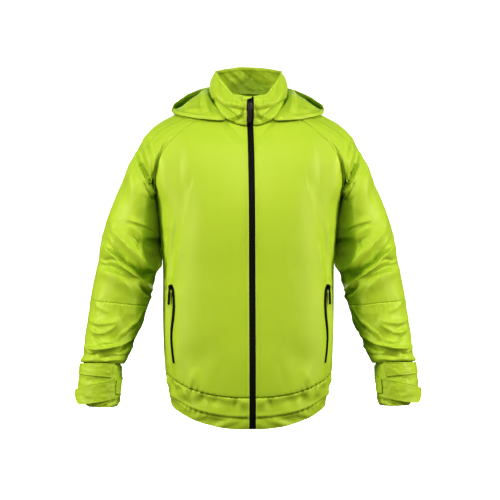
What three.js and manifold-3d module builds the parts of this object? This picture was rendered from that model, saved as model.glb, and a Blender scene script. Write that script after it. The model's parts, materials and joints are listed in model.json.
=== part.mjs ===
// A hooded windbreaker jacket, worn shape with no wearer, as a three.js scene graph.
// Millimetres, +Z up, +X to the wearer's left, -Y to the front. The origin is the
// middle of the neck opening, at the height of the side neck points.
import * as THREE from "three";
import Module from "manifold-3d";

// Driving dimensions
const CLOTH = 2; // wall of every cloth piece
const SEAM_GAP = 0.4; // room between two pieces at a seam
const LAY_GAP = 0.6; // room between a piece and the panel it lies on
const ZIP_HALF = 7; // half of the black zip that shows between the fronts
const ZIP_ASIDE = { hem: 5, neck: 1 }; // how far the zip lies towards the wearer's left

// Colours of the cloth and the zips
const LIME = new THREE.MeshStandardMaterial({ color: 0xb4d632, roughness: 0.5, metalness: 0 });
const BLACK = new THREE.MeshStandardMaterial({ color: 0x111216, roughness: 0.55, metalness: 0 });
const DARK_METAL = new THREE.MeshStandardMaterial({ color: 0x1b1c20, roughness: 0.35, metalness: 0.6 });

// The body of the jacket, from hem to neck. Each row is a ring: its height at the side
// seam, front and back, its half width, its depth before and behind the middle, how
// square it is and how soon it drops towards the front.
const TORSO = [
  { side: -703, front: -746, back: -738, half: 178, fore: 120, aft: 110, square: 2.4, drop: 2 },
  { side: -630, front: -676, back: -664, half: 190, fore: 131, aft: 117, square: 2.5, drop: 2 },
  { side: -550, front: -590, back: -578, half: 195, fore: 135, aft: 116, square: 2.45, drop: 2 },
  { side: -470, front: -497, back: -488, half: 196, fore: 133, aft: 110, square: 2.4, drop: 2 },
  { side: -395, front: -405, back: -400, half: 196, fore: 131, aft: 107, square: 2.4, drop: 2 },
  { side: -328, front: -330, back: -325, half: 201, fore: 134, aft: 109, square: 2.35, drop: 2 },
  { side: -265, front: -268, back: -258, half: 208, fore: 135, aft: 113, square: 2.3, drop: 2 },
  { side: -215, front: -226, back: -208, half: 216, fore: 132, aft: 117, square: 2.3, drop: 2 },
  { side: -165, front: -187, back: -157, half: 222, fore: 126, aft: 119, square: 2.3, drop: 2 },
  { side: -120, front: -152, back: -112, half: 219, fore: 118, aft: 116, square: 2.3, drop: 2 },
  { side: -77, front: -125, back: -72, half: 204, fore: 108, aft: 108, square: 2.3, drop: 2 },
  { side: -43, front: -103, back: -40, half: 172, fore: 97, aft: 97, square: 2.25, drop: 1.9 },
  { side: -20, front: -88, back: -12, half: 128, fore: 89, aft: 83, square: 2.2, drop: 1.65 },
  { side: -2, front: -77, back: 13, half: 86, fore: 82, aft: 68, square: 2.1, drop: 1.35 },
];
const BAND_ROW = 1;
const ARMPIT_ROW = 6;
const NECK_ROW = TORSO.length - 1;

// The angles from the side at which the raglan seams cross the body's rows, front and
// back, from the armpit row to the neck row.
const RAGLAN = [
  { seamFore: 0, seamAft: 0 },
  { seamFore: 13, seamAft: 14 },
  { seamFore: 22, seamAft: 24 },
  { seamFore: 31, seamAft: 35 },
  { seamFore: 39, seamAft: 43 },
  { seamFore: 41.5, seamAft: 46 },
  { seamFore: 38, seamAft: 46 },
  { seamFore: 32, seamAft: 43 },
];

// The way the sleeve leaves a raglan seam, from the armpit to the neck corner and on to
// the shoulder point: a direction at the front seam, and how far the cloth holds it.
const SLEEVE_START = [
  { x: 0.4, y: 0.1, z: -0.92, pull: 60, flush: 0 },
  { x: 0.85, y: 0.1, z: -0.5, pull: 90, flush: 0.1 },
  { x: 0.88, y: 0.2, z: -0.35, pull: 130, flush: 0.6 },
  { x: 0.85, y: 0.3, z: -0.35, pull: 210, flush: 1 },
  { x: 0.86, y: 0.3, z: -0.36, pull: 320, flush: 1 },
  { x: 0.92, y: 0.15, z: -0.35, pull: 440, flush: 0.8 },
  { x: 0.944, y: 0, z: -0.33, pull: 480, flush: 0.4 },
];
// The bump of the shoulder point on the sleeve's top line: its place along the line,
// its spread, and its rise outward and upward.
const SHOULDER = { at: 0.39, wide: 0.17, out: 5.4, up: 14 };

// The sleeve from the upper arm to its end: ring centres, the ring's tilt up at the
// outer side and pitch up at the front, its half width and its half depth.
const ARM = [
  { x: 269.5, y: 2, z: -335, tilt: 13, pitch: 0, across: 68.3, deep: 76 },
  { x: 270.5, y: 1, z: -374, tilt: 10, pitch: 0, across: 71, deep: 74 },
  { x: 278.5, y: 0, z: -398, tilt: 8, pitch: 0, across: 67, deep: 72 },
  { x: 286.5, y: -1, z: -430, tilt: 7, pitch: 0, across: 67.3, deep: 71 },
  { x: 296, y: -3, z: -472, tilt: 6, pitch: 1, across: 65.3, deep: 69 },
  { x: 304.5, y: -9, z: -514, tilt: 5, pitch: 2, across: 62, deep: 65 },
  { x: 316, y: -15, z: -551, tilt: 4, pitch: 4, across: 56.5, deep: 61 },
  { x: 319, y: -18, z: -572, tilt: 3, pitch: 5, across: 53.8, deep: 58 },
  { x: 324.5, y: -22, z: -592, tilt: 2, pitch: 6, across: 51, deep: 56 },
  { x: 330.5, y: -24, z: -603, tilt: 2, pitch: 7, across: 50.7, deep: 56 },
  { x: 331.5, y: -25, z: -608, tilt: 2, pitch: 7, across: 48.5, deep: 52 },
];
const ELBOW_ROW = 4;

// The cuff below the sleeve's end, drawn in towards its edge.
const CUFF = [
  { x: 331.5, y: -25, z: -607.8, tilt: 2, pitch: 7, across: 47.6, deep: 51.1 },
  { x: 334.5, y: -27, z: -630, tilt: 2, pitch: 5, across: 48.6, deep: 50 },
  { x: 338, y: -29, z: -652, tilt: 3, pitch: 3, across: 48.4, deep: 48.5 },
  { x: 338.5, y: -31, z: -674, tilt: 3, pitch: 2, across: 47, deep: 46 },
  { x: 335, y: -32, z: -692, tilt: 2, pitch: 2, across: 41.5, deep: 41 },
  { x: 331, y: -32, z: -704, tilt: 1, pitch: 2, across: 32, deep: 34 },
];
// The form that the cuff's straps keep, which doesn't draw in towards the edge.
const STRAP = [...CUFF.slice(0, 4), { x: 337, y: -32, z: -700, tilt: 3, pitch: 2, across: 46, deep: 44.5 }];

// The collar's top edge, the dip in it beside the zip, and how far the collar's wall
// bows out between base and top.
const COLLAR_TOP = { half: 75, fore: 87, aft: 60, side: 60, front: -10, back: 78, square: 2.1, drop: 1.5 };
const COLLAR_DIP = { angle: -61, wide: 9, deep: 6 };
const COLLAR_BOW = 9;
const COLLAR_LIFT = 0.5;

// Half of the hood, lying down behind the neck. Each row crosses it from the neck seam
// over the shoulder or down the back, round the pouch's foot, to the edge of the face
// opening. Columns are x, y and z at the crest, inner wall, foot, belly and edge.
const HOOD = [
  {
    neck: -56,
    crest: [53, -73, -57], inner: [54, -74, -59], foot: [55, -75, -60],
    belly: [56, -76, -61], edge: [57, -77, -62],
  },
  {
    neck: -40,
    crest: [73, -62, -36], inner: [74, -68, -43], foot: [75, -73, -50],
    belly: [76, -78, -56], edge: [77, -82, -62],
  },
  {
    neck: -18,
    crest: [96, -32, -4], inner: [105, -43, -17], foot: [111, -52, -30],
    belly: [116, -60, -44], edge: [120, -67, -57],
  },
  {
    neck: -2,
    crest: [100, -8, 9], inner: [117, -17, -5], foot: [134, -26, -21],
    belly: [148, -34, -35], edge: [160, -41, -45],
  },
  {
    neck: 12,
    crest: [100, 14, 15], inner: [119, 11, 2], foot: [139, 6, -16],
    belly: [158, 0, -28], edge: [173, -6, -34],
  },
  {
    neck: 36,
    crest: [96, 44, 24], inner: [120, 60, 0], foot: [147, 66, -27],
    belly: [177, 56, -27], edge: [168, 42, -10],
  },
  {
    neck: 56,
    crest: [79, 74, 28], inner: [96, 94, -20], foot: [120, 115, -98],
    belly: [149, 123, -44], edge: [129, 99, 24],
  },
  {
    neck: 75,
    crest: [42, 90, 29], inner: [52, 111, -50], foot: [63, 131, -166],
    belly: [85, 158, -90], edge: [78, 132, 43],
  },
  {
    neck: 90,
    crest: [0.4, 92, 28], inner: [0.4, 112, -62], foot: [0.4, 134, -186],
    belly: [0.4, 169, -108], edge: [0.4, 148, 47],
  },
];

// Folds as the front view shows them on the wearer's left side: the ends and middle of
// each line, the fold's half width and its height (a trough is negative).
const SLEEVE_FOLDS = [
  { x1: 262, z1: -120, x2: 240, z2: -165, x3: 222, z3: -235, wide: 13, high: -11 },
  { x1: 283, z1: -130, x2: 262, z2: -185, x3: 240, z3: -250, wide: 18, high: 7 },
  { x1: 300, z1: -300, x2: 268, z2: -345, x3: 228, z3: -395, wide: 16, high: 8 },
  { x1: 318, z1: -385, x2: 285, z2: -390, x3: 248, z3: -425, wide: 13, high: -9 },
  { x1: 336, z1: -345, x2: 290, z2: -388, x3: 228, z3: -446, wide: 14, high: 8 },
  { x1: 350, z1: -395, x2: 310, z2: -400, x3: 268, z3: -440, wide: 17, high: 6 },
  { x1: 368, z1: -572, x2: 320, z2: -580, x3: 262, z3: -545, wide: 13, high: 6 },
  { x1: 300, z1: -560, x2: 285, z2: -572, x3: 268, z3: -560, wide: 14, high: -7 },
];
const BODY_FOLDS = [
  { x1: 128, z1: -205, x2: 158, z2: -320, x3: 172, z3: -415, wide: 26, high: -6 },
  { x1: 60, z1: -560, x2: 110, z2: -600, x3: 150, z3: -600, wide: 34, high: -4 },
];
const BACK_FOLDS = [
  { x1: 60, z1: -250, x2: 100, z2: -340, x3: 120, z3: -450, wide: 34, high: -6 },
  { x1: 20, z1: -430, x2: 60, z2: -480, x3: 70, z3: -600, wide: 36, high: 5 },
];

const radians = THREE.MathUtils.degToRad;
const degrees = THREE.MathUtils.radToDeg;
const mix = THREE.MathUtils.lerp;
const smooth = THREE.MathUtils.smoothstep;

// A table read at a fractional row, through a Catmull-Rom curve in every column.
function rowAt(table, position) {
  const last = table.length - 1;
  const low = Math.min(Math.max(Math.floor(position), 0), last - 1);
  const t = position - low;
  const rowNear = (row) => table[Math.min(Math.max(row, 0), last)];
  const [a, b, c, d] = [-1, 0, 1, 2].map((step) => rowNear(low + step));
  const curve = (p, q, r, s) =>
    q + 0.5 * t * (r - p + t * (2 * p - 5 * q + 4 * r - s + t * (3 * (q - r) + s - p)));
  const read = {};
  for (const name of Object.keys(b)) {
    read[name] = Array.isArray(b[name])
      ? b[name].map((value, axis) => curve(a[name][axis], value, c[name][axis], d[name][axis]))
      : curve(a[name], b[name], c[name], d[name]);
  }
  return read;
}

// Distance from (x, z) to a fold's bent line, with the way along it, from 0 to 1.
function alongFold(fold, x, z) {
  const STEPS = 10;
  let best = { away: Infinity, along: 0 };
  let from = [fold.x1, fold.z1];
  for (let step = 1; step <= STEPS; step++) {
    const t = step / STEPS;
    const bend = (a, b, c) => (1 - t) * (1 - t) * a + 2 * t * (1 - t) * b + t * t * c;
    const to = [bend(fold.x1, fold.x2, fold.x3), bend(fold.z1, fold.z2, fold.z3)];
    const [dx, dz] = [to[0] - from[0], to[1] - from[1]];
    const ahead = ((x - from[0]) * dx + (z - from[1]) * dz) / (dx * dx + dz * dz);
    const share = THREE.MathUtils.clamp(ahead, 0, 1);
    const away = Math.hypot(x - from[0] - share * dx, z - from[1] - share * dz);
    if (away < best.away) best = { away, along: (step - 1 + share) / STEPS };
    from = to;
  }
  return best;
}

// How far the folds of a list lift the cloth at (x, z) of the front or back view.
function foldHeight(folds, x, z) {
  return folds.reduce((sum, fold) => {
    const { away, along } = alongFold(fold, x, z);
    const fade = Math.sqrt(Math.sin(Math.PI * mix(0.08, 0.92, along)));
    return sum + fold.high * fade * Math.exp(-((away / fold.wide) ** 2));
  }, 0);
}

// A point on the body's smooth form. The angle is 0 at the side seam, -90 at the centre
// front and 90 at the centre back; hand is 1 on the wearer's left and -1 on the right.
function torsoForm(hand, angle, level) {
  const ring = rowAt(TORSO, level);
  const [cos, sin] = [Math.cos(radians(angle)), Math.sin(radians(angle))];
  const round = (value) => Math.sign(value) * Math.abs(value) ** (2 / ring.square);
  const depth = sin < 0 ? ring.fore : ring.aft;
  const end = sin < 0 ? ring.front : ring.back;
  return new THREE.Vector3(
    hand * ring.half * round(cos),
    depth * round(sin),
    ring.side + (end - ring.side) * Math.abs(sin) ** (sin < 0 ? ring.drop : 2),
  );
}

// The body's outward direction, from its form's slopes either way.
function torsoNormal(hand, angle, level) {
  const STEP = 0.02;
  const turn = Math.min(Math.max(angle, -88), 88);
  const row = Math.min(level, NECK_ROW - STEP);
  const across = torsoForm(hand, turn + 1, row).sub(torsoForm(hand, turn - 1, row));
  const up = torsoForm(hand, turn, row + STEP).sub(torsoForm(hand, turn, Math.max(row - STEP, 0)));
  return across.cross(up).multiplyScalar(hand).normalize();
}

// The angle from the side of a raglan seam, 0 all the way down the side seam.
function seamAngle(level, column) {
  return level <= ARMPIT_ROW ? 0 : Math.max(0, rowAt(RAGLAN, level - ARMPIT_ROW)[column]);
}

// The body's cloth, with its folds, which fade out towards the raglan seams.
function torsoPoint(hand, angle, level) {
  const point = torsoForm(hand, angle, level);
  const seam = angle < 0 ? seamAngle(level, "seamFore") : seamAngle(level, "seamAft");
  const fade = smooth(Math.abs(angle) - seam, 2, 18) * smooth(NECK_ROW - level, 0, 2);
  const folds = angle < 0 ? BODY_FOLDS : BACK_FOLDS;
  const high = fade * foldHeight(folds, hand * point.x, point.z);
  return point.addScaledVector(torsoNormal(hand, angle, level), high);
}

// The angle at which a ring of the body is a stated distance from the middle.
function angleAtWidth(level, width) {
  const ring = rowAt(TORSO, level);
  const share = Math.abs(width / ring.half) ** (ring.square / 2);
  return degrees(Math.acos(Math.sign(width) * share));
}

// The angle of a line on the front beside the zip, at a width from the zip's middle.
function besideZip(hand, level, width) {
  const aside = mix(ZIP_ASIDE.hem, ZIP_ASIDE.neck, level / NECK_ROW);
  return -angleAtWidth(level, width + hand * aside);
}

// The angle and level on the front where the front view shows (x, z).
function findOnFront(x, z) {
  let level = 4;
  let angle = -60;
  for (let step = 0; step < 30; step++) {
    angle = -angleAtWidth(level, x);
    const here = torsoForm(1, angle, level).z;
    const slope = torsoForm(1, angle, level + 0.05).z - here;
    level = THREE.MathUtils.clamp(level + (0.05 * (z - here)) / slope, 0, NECK_ROW);
  }
  return { angle, level };
}

// Directions square to a grid of points, from the cloth on each side of every point.
function gridNormals(points, closed, flip) {
  return points.map((row, i) =>
    row.map((_, j) => {
      const last = row.length - 1;
      const before = closed ? row[j === 0 ? last : j - 1] : row[Math.max(j - 1, 0)];
      const after = closed ? row[j === last ? 0 : j + 1] : row[Math.min(j + 1, last)];
      const below = points[Math.max(i - 1, 0)][j];
      const above = points[Math.min(i + 1, points.length - 1)][j];
      const across = after.clone().sub(before);
      return across.cross(above.clone().sub(below)).multiplyScalar(flip).normalize();
    }),
  );
}

// Draws the open edges of a grid back by half a seam's gap, or by another length.
function drawBack(points, closed, length = SEAM_GAP / 2) {
  const inset = points.map((row) => row.map((point) => point.clone()));
  const pull = (i, j, k, l) => {
    const way = points[k][l].clone().sub(points[i][j]);
    inset[i][j].addScaledVector(way.normalize(), length);
  };
  const [rows, columns] = [points.length - 1, points[0].length - 1];
  for (let j = 0; j <= columns; j++) {
    pull(0, j, 1, j);
    pull(rows, j, rows - 1, j);
  }
  for (let i = 0; i <= rows && !closed; i++) {
    pull(i, 0, i, 1);
    pull(i, columns, i, columns - 1);
  }
  return inset;
}

// A closed solid from a grid of outer points and the same points moved in by a wall.
// A closed grid joins its last column to its first.
function wallSolid(points, normals, { wall = CLOTH, closed = false } = {}) {
  const rows = points.length;
  const columns = points[0].length;
  const position = [];
  points.forEach((row) => row.forEach((p) => position.push(p.x, p.y, p.z)));
  points.forEach((row, i) =>
    row.forEach((p, j) => {
      const inner = p.clone().addScaledVector(normals[i][j], -wall);
      position.push(inner.x, inner.y, inner.z);
    }),
  );
  const outer = (i, j) => i * columns + (j % columns);
  const inner = (i, j) => rows * columns + outer(i, j);
  const index = [];
  const quad = (a, b, c, d) => index.push(a, b, c, a, c, d);
  const spans = closed ? columns : columns - 1;
  for (let i = 0; i < rows - 1; i++) {
    for (let j = 0; j < spans; j++) {
      quad(outer(i, j), outer(i, j + 1), outer(i + 1, j + 1), outer(i + 1, j));
      quad(inner(i, j), inner(i + 1, j), inner(i + 1, j + 1), inner(i, j + 1));
    }
  }
  for (let j = 0; j < spans; j++) {
    quad(outer(0, j + 1), outer(0, j), inner(0, j), inner(0, j + 1));
    quad(outer(rows - 1, j), outer(rows - 1, j + 1), inner(rows - 1, j + 1), inner(rows - 1, j));
  }
  for (let i = 0; i < rows - 1 && !closed; i++) {
    quad(outer(i, 0), outer(i + 1, 0), inner(i + 1, 0), inner(i, 0));
    quad(outer(i + 1, spans), outer(i, spans), inner(i, spans), inner(i + 1, spans));
  }
  return facingOut(position, index);
}

// A geometry whose faces point out, whichever way its grid ran.
function facingOut(position, index) {
  const corner = (k) => new THREE.Vector3().fromArray(position, 3 * index[k]);
  let volume = 0;
  for (let k = 0; k < index.length; k += 3) {
    volume += corner(k).dot(corner(k + 1).cross(corner(k + 2)));
  }
  if (volume < 0) {
    for (let k = 0; k < index.length; k += 3) {
      [index[k + 1], index[k + 2]] = [index[k + 2], index[k + 1]];
    }
  }
  const geometry = new THREE.BufferGeometry();
  geometry.setAttribute("position", new THREE.Float32BufferAttribute(position, 3));
  geometry.setIndex(index);
  geometry.computeVertexNormals();
  return geometry;
}

const jacket = new THREE.Group();

function add(name, geometry, material, parent = jacket) {
  const mesh = new THREE.Mesh(geometry, material);
  mesh.name = name;
  parent.add(mesh);
  return mesh;
}

const steps = (count) => Array.from({ length: count + 1 }, (_, k) => k / count);
const nameFor = (part, hand) => `${part}_${hand > 0 ? "left" : "right"}`;

// Body panels
const BAND_STEPS = 2;
const LOWER_STEPS = 12;
const SEAM_STEPS = 10;
const FRONT_COLUMNS = 12;
const BACK_COLUMNS = 18;

const panelLevels = [
  ...steps(LOWER_STEPS).map((t) => mix(BAND_ROW, ARMPIT_ROW, t)),
  ...steps(SEAM_STEPS).slice(1).map((t) => mix(ARMPIT_ROW, NECK_ROW, t)),
];
const bandLevels = steps(BAND_STEPS).map((t) => mix(0, BAND_ROW, t));

// The angle on the front at a share of the way from the zip to the side or raglan seam.
function frontAngle(hand, level, t) {
  return mix(besideZip(hand, level, ZIP_HALF), -seamAngle(level, "seamFore"), t);
}

// One front, or the front of the hem band, from the zip to the side or raglan seam.
function frontPiece(hand, levels) {
  const grid = (form) =>
    levels.map((level) => steps(FRONT_COLUMNS).map((t) => form(hand, frontAngle(hand, level, t), level)));
  return wallSolid(drawBack(grid(torsoPoint), false), grid(torsoNormal));
}

// The back, or the back of the hem band, from one side seam to the other.
function backPiece(levels) {
  const grid = (form) =>
    levels.map((level) =>
      steps(BACK_COLUMNS).map((t) => {
        const hand = t < 0.5 ? 1 : -1;
        const inward = 1 - Math.abs(1 - 2 * t);
        return form(hand, mix(seamAngle(level, "seamAft"), 90, inward), level);
      }),
    );
  return wallSolid(drawBack(grid(torsoPoint), false), grid(torsoNormal));
}

for (const hand of [1, -1]) {
  add(nameFor("front", hand), frontPiece(hand, panelLevels), LIME);
  add(nameFor("hem_band_front", hand), frontPiece(hand, bandLevels), LIME);
}
add("back", backPiece(panelLevels), LIME);
add("hem_band_back", backPiece(bandLevels), LIME);

// Sleeves
const NECK_STEPS = 4;
const RING = 2 * SEAM_STEPS + NECK_STEPS;
const UPPER_STEPS = 9;
const BICEP_STEPS = 4;
const FOREARM_STEPS = 7;
const CUFF_STEPS = 5;
const SLEEVE_DRAW = 0.45; // how far the upper sleeve's edges are drawn back

// A point on a ring round the arm. The turn is 0 on the outer side and 90 in front.
function ringPoint(hand, ring, turn, lift = 0) {
  const across = (ring.across + lift) * Math.cos(radians(turn));
  const ahead = (ring.deep + lift) * Math.sin(radians(turn));
  const tilt = radians(ring.tilt);
  return new THREE.Vector3(
    hand * (ring.x + across * Math.cos(tilt)),
    ring.y - ahead,
    ring.z + across * Math.sin(tilt) + ahead * Math.sin(radians(ring.pitch)),
  );
}

const turnAt = (column) => 180 - (360 * column) / RING;

// The sleeve's edge on the body: up the front raglan seam from the armpit, along the
// neck, and down the back seam. Gives the angle and level on the body.
function seamPlace(column) {
  if (column <= SEAM_STEPS) {
    const level = mix(ARMPIT_ROW, NECK_ROW, column / SEAM_STEPS);
    return { angle: -seamAngle(level, "seamFore"), level };
  }
  if (column < SEAM_STEPS + NECK_STEPS) {
    const t = (column - SEAM_STEPS) / NECK_STEPS;
    const { seamFore, seamAft } = RAGLAN.at(-1);
    return { angle: mix(-seamFore, seamAft, t), level: NECK_ROW };
  }
  const level = mix(ARMPIT_ROW, NECK_ROW, (RING - column) / SEAM_STEPS);
  return { angle: seamAngle(level, "seamAft"), level };
}

// One line of the sleeve's cloth, from its seam on the body to the upper arm ring.
function shoulderLine(hand, column) {
  const { angle, level } = seamPlace(column);
  const start = torsoForm(hand, angle, level);
  const normal = torsoNormal(hand, angle, level);
  const half = RING / 2;
  const rise = 1 - Math.abs(half - column) / half;
  const way = rowAt(SLEEVE_START, rise * (SLEEVE_START.length - 1));
  const leave = new THREE.Vector3(hand * way.x, column > half ? -way.y : way.y, way.z);
  leave.addScaledVector(normal, -way.flush * leave.dot(normal)).normalize();
  const end = ringPoint(hand, ARM[0], turnAt(column));
  const tilt = radians(ARM[0].tilt + 4);
  const arrive = new THREE.Vector3(hand * Math.sin(tilt), 0, -Math.cos(tilt));
  const hold = 1.05 * start.distanceTo(end);
  const crown = smooth(rise, 0.45, 0.95);
  return (t) => {
    const spread = Math.exp(-(((t - SHOULDER.at) / SHOULDER.wide) ** 2));
    const bump = crown * spread * Math.min(1, 8 * t, 8 - 8 * t);
    const [t2, t3] = [t * t, t * t * t];
    return start
      .clone()
      .multiplyScalar(2 * t3 - 3 * t2 + 1)
      .addScaledVector(leave, way.pull * (t3 - 2 * t2 + t))
      .addScaledVector(end, 3 * t2 - 2 * t3)
      .addScaledVector(arrive, hold * (t3 - t2))
      .add(new THREE.Vector3(hand * SHOULDER.out * bump, 0, SHOULDER.up * bump));
  };
}

// Lifts a sleeve's points by the folds, on its front and, turned about, on its back.
function foldSleeve(points, normals, hand, fades) {
  return points.map((row, i) =>
    row.map((point, j) => {
      const facing = Math.sqrt(Math.abs(normals[i][j].y));
      const shift = normals[i][j].y < 0 ? 0 : 22;
      const high = fades[i] * facing * foldHeight(SLEEVE_FOLDS, hand * point.x, point.z + shift);
      return point.clone().addScaledVector(normals[i][j], high);
    }),
  );
}

const ringColumns = Array.from({ length: RING }, (_, column) => column);

function tubeRow(hand, table, position) {
  const ring = rowAt(table, position);
  return ringColumns.map((column) => ringPoint(hand, ring, turnAt(column)));
}

// Settles the sleeve's first row on the body's own direction where the seam lies flush.
function seamNormals(hand, normals) {
  return normals.map((row, i) =>
    i > 0
      ? row
      : row.map((normal, column) => {
          const rise = 1 - Math.abs(RING / 2 - column) / (RING / 2);
          const { angle, level } = seamPlace(column);
          return normal.clone().lerp(torsoNormal(hand, angle, level), smooth(rise, 0.25, 0.5)).normalize();
        }),
  );
}

function sleeves(hand) {
  const lines = ringColumns.map((column) => shoulderLine(hand, column));
  const shoulder = steps(UPPER_STEPS).map((t) => lines.map((line) => line(t)));
  const bicep = steps(BICEP_STEPS).slice(1).map((t) => tubeRow(hand, ARM, t * ELBOW_ROW));
  const upper = [...shoulder, ...bicep];
  const upperFades = upper.map((_, i) => smooth(i, 0, 3));
  const upperNormals = seamNormals(hand, gridNormals(upper, true, -hand));
  const upperFolded = foldSleeve(upper, upperNormals, hand, upperFades);
  const tube = (points, normals, length) =>
    wallSolid(drawBack(points, true, length), normals, { closed: true });
  add(nameFor("upper_sleeve", hand), tube(upperFolded, upperNormals, SLEEVE_DRAW), LIME);

  const lower = steps(FOREARM_STEPS).map((t) => tubeRow(hand, ARM, mix(ELBOW_ROW, ARM.length - 1, t)));
  const lowerNormals = gridNormals(lower, true, -hand);
  lowerNormals[0] = upperNormals.at(-1);
  const lowerFades = lower.map((_, i) => 1 - smooth(i, FOREARM_STEPS - 2, FOREARM_STEPS));
  const lowerFolded = foldSleeve(lower, lowerNormals, hand, lowerFades);
  add(nameFor("lower_sleeve", hand), tube(lowerFolded, lowerNormals), LIME);

  const cuff = steps(CUFF_STEPS).map((t) => tubeRow(hand, CUFF, t * (CUFF.length - 1)));
  add(nameFor("cuff", hand), tube(cuff, gridNormals(cuff, true, -hand)), LIME);
}

// A strap that lies on the cuff. Its corners are turns round the cuff and table rows:
// the root end's top and foot, then the tip end's. lift gives its height along it.
function cuffStrap(hand, corners, columns, lift, wall = CLOTH) {
  const { rootTurn, rootTop, rootFoot, tipTurn, tipTop, tipFoot, tipSlant = 0, sag = 0 } = corners;
  const grid = (extra) =>
    steps(2).map((down) =>
      steps(columns).map((t) => {
        const top = mix(rootTop, tipTop, t) - sag * Math.sin(Math.PI * t);
        const row = mix(top, mix(rootFoot, tipFoot, t), down);
        const turn = mix(rootTurn, tipTurn + tipSlant * down, t);
        return ringPoint(hand, rowAt(STRAP, row), turn, lift(t) + extra);
      }),
    );
  const points = grid(wall);
  const raised = grid(wall + 1);
  const away = (point, i, j) => raised[i][j].clone().sub(point).normalize();
  const normals = points.map((row, i) => row.map((point, j) => away(point, i, j)));
  return wallSolid(points, normals, { wall });
}

const FLAP = {
  rootTurn: -40, rootTop: 0.1, rootFoot: 1.04,
  tipTurn: 129, tipTop: 0.1, tipFoot: 1.38, tipSlant: -7,
};
const TAB = {
  rootTurn: 170, rootTop: 1.3, rootFoot: 3.15,
  tipTurn: -3, tipTop: 2.98, tipFoot: 4, tipSlant: 38, sag: 0.2,
};
const KEEPER = {
  rootTurn: 162, rootTop: 1.62, rootFoot: 3,
  tipTurn: 140, tipTop: 1.62, tipFoot: 3,
};
const STRAP_GAP = 0.8; // room under a strap
const TAB_TIP_RISE = 6; // how far the tab's tip stands off the cuff

function cuffPieces(hand) {
  add(nameFor("cuff_flap", hand), cuffStrap(hand, FLAP, 12, () => STRAP_GAP), LIME);
  const rise = (t) => STRAP_GAP + TAB_TIP_RISE * smooth(t, 0.78, 1);
  add(nameFor("cuff_tab", hand), cuffStrap(hand, TAB, 14, rise), LIME);
  add(nameFor("tab_keeper", hand), cuffStrap(hand, KEEPER, 2, () => 2 * STRAP_GAP + CLOTH), LIME);
}

for (const hand of [1, -1]) {
  sleeves(hand);
  cuffPieces(hand);
}

// Collar
const COLLAR_STEPS = 4;

// A point on the collar, from its seam with the neck at 0 to its top edge at 1.
function collarPoint(hand, angle, t) {
  const base = torsoForm(hand, angle, NECK_ROW);
  const { half, fore, aft, side, front, back, square, drop } = COLLAR_TOP;
  const [cos, sin] = [Math.cos(radians(angle)), Math.sin(radians(angle))];
  const round = (value) => Math.sign(value) * Math.abs(value) ** (2 / square);
  const drawn = sin < 0 ? smooth(Math.abs(base.x), 10, 45) : 1;
  const dip = COLLAR_DIP.deep * Math.exp(-(((angle - COLLAR_DIP.angle) / COLLAR_DIP.wide) ** 2));
  const top = new THREE.Vector3(
    mix(base.x, hand * half * round(cos), drawn),
    (sin < 0 ? fore : aft) * round(sin),
    side + ((sin < 0 ? front : back) - side) * Math.abs(sin) ** drop - dip,
  );
  const out = new THREE.Vector3(base.x, base.y, 0).normalize();
  base.z += COLLAR_LIFT;
  return base.lerp(top, t).addScaledVector(out, 4 * COLLAR_BOW * t * (1 - t));
}

// The angles of the neck's stations on one side, those of the front, sleeve and back.
const { seamFore: CORNER_FORE, seamAft: CORNER_AFT } = RAGLAN.at(-1);
const neckAngles = (hand) => [
  ...steps(FRONT_COLUMNS).map((t) => frontAngle(hand, NECK_ROW, t)),
  ...steps(NECK_STEPS).slice(1).map((t) => mix(-CORNER_FORE, CORNER_AFT, t)),
  ...steps(BACK_COLUMNS / 2).slice(1).map((t) => mix(CORNER_AFT, 90, t)),
];

function collar() {
  const stations = [
    ...neckAngles(1).map((angle) => [1, angle]),
    ...neckAngles(-1).slice(0, -1).reverse().map((angle) => [-1, angle]),
  ];
  const ring = (t) => stations.map(([hand, angle]) => collarPoint(hand, angle, t));
  const points = steps(COLLAR_STEPS).map(ring);
  return wallSolid(points, gridNormals(points, false, 1));
}
add("collar", collar(), LIME);

// Hood
const HOOD_ALONG = 14;
const HOOD_ROUND = 14;
const HOOD_STOPS = ["crest", "inner", "foot", "belly", "edge"];
const HOOD_SEAM_HEIGHT = 0.04; // share of the collar's height at which the hood is sewn in

function hoodSeam(angle) {
  const point = collarPoint(1, angle, HOOD_SEAM_HEIGHT);
  const away = new THREE.Vector3(point.x, point.y, 0).normalize();
  return point.addScaledVector(away, CLOTH + LAY_GAP);
}

// Half of the hood. Its wall lies inside the pouch, away from the jacket's back.
function hood(hand) {
  const points = steps(HOOD_ALONG).map((along) => {
    const row = rowAt(HOOD, along * (HOOD.length - 1));
    const stops = [hoodSeam(Math.min(row.neck, 90)).toArray(), ...HOOD_STOPS.map((name) => row[name])];
    return steps(HOOD_ROUND).map((t) => {
      const [x, y, z] = rowAt(stops.map((at) => ({ at })), t * (stops.length - 1)).at;
      return new THREE.Vector3(hand * Math.max(x, SEAM_GAP / 2), y, z);
    });
  });
  const normals = gridNormals(points, false, -hand);
  normals.at(-1).forEach((normal) => normal.setX(0).normalize());
  return wallSolid(points, normals);
}
for (const hand of [1, -1]) add(nameFor("hood", hand), hood(hand), LIME);

// Front zip: two tapes side by side, from the hem to the collar's top
const TAPE_STEPS = 22;
const TAPE_WALL = 1.4;
const TAPE_TOP = 0.97; // share of the collar's height that the tapes reach
const NECK_SHARE = 0.9; // share of the zip's length below the neck seam

function zipLine(hand, width, t) {
  const level = mix(0.02, NECK_ROW, Math.min(t / NECK_SHARE, 1));
  const angle = besideZip(hand, level, width);
  if (t <= NECK_SHARE) return torsoForm(hand, angle, level);
  return collarPoint(hand, angle, (TAPE_TOP * (t - NECK_SHARE)) / (1 - NECK_SHARE));
}

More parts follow.
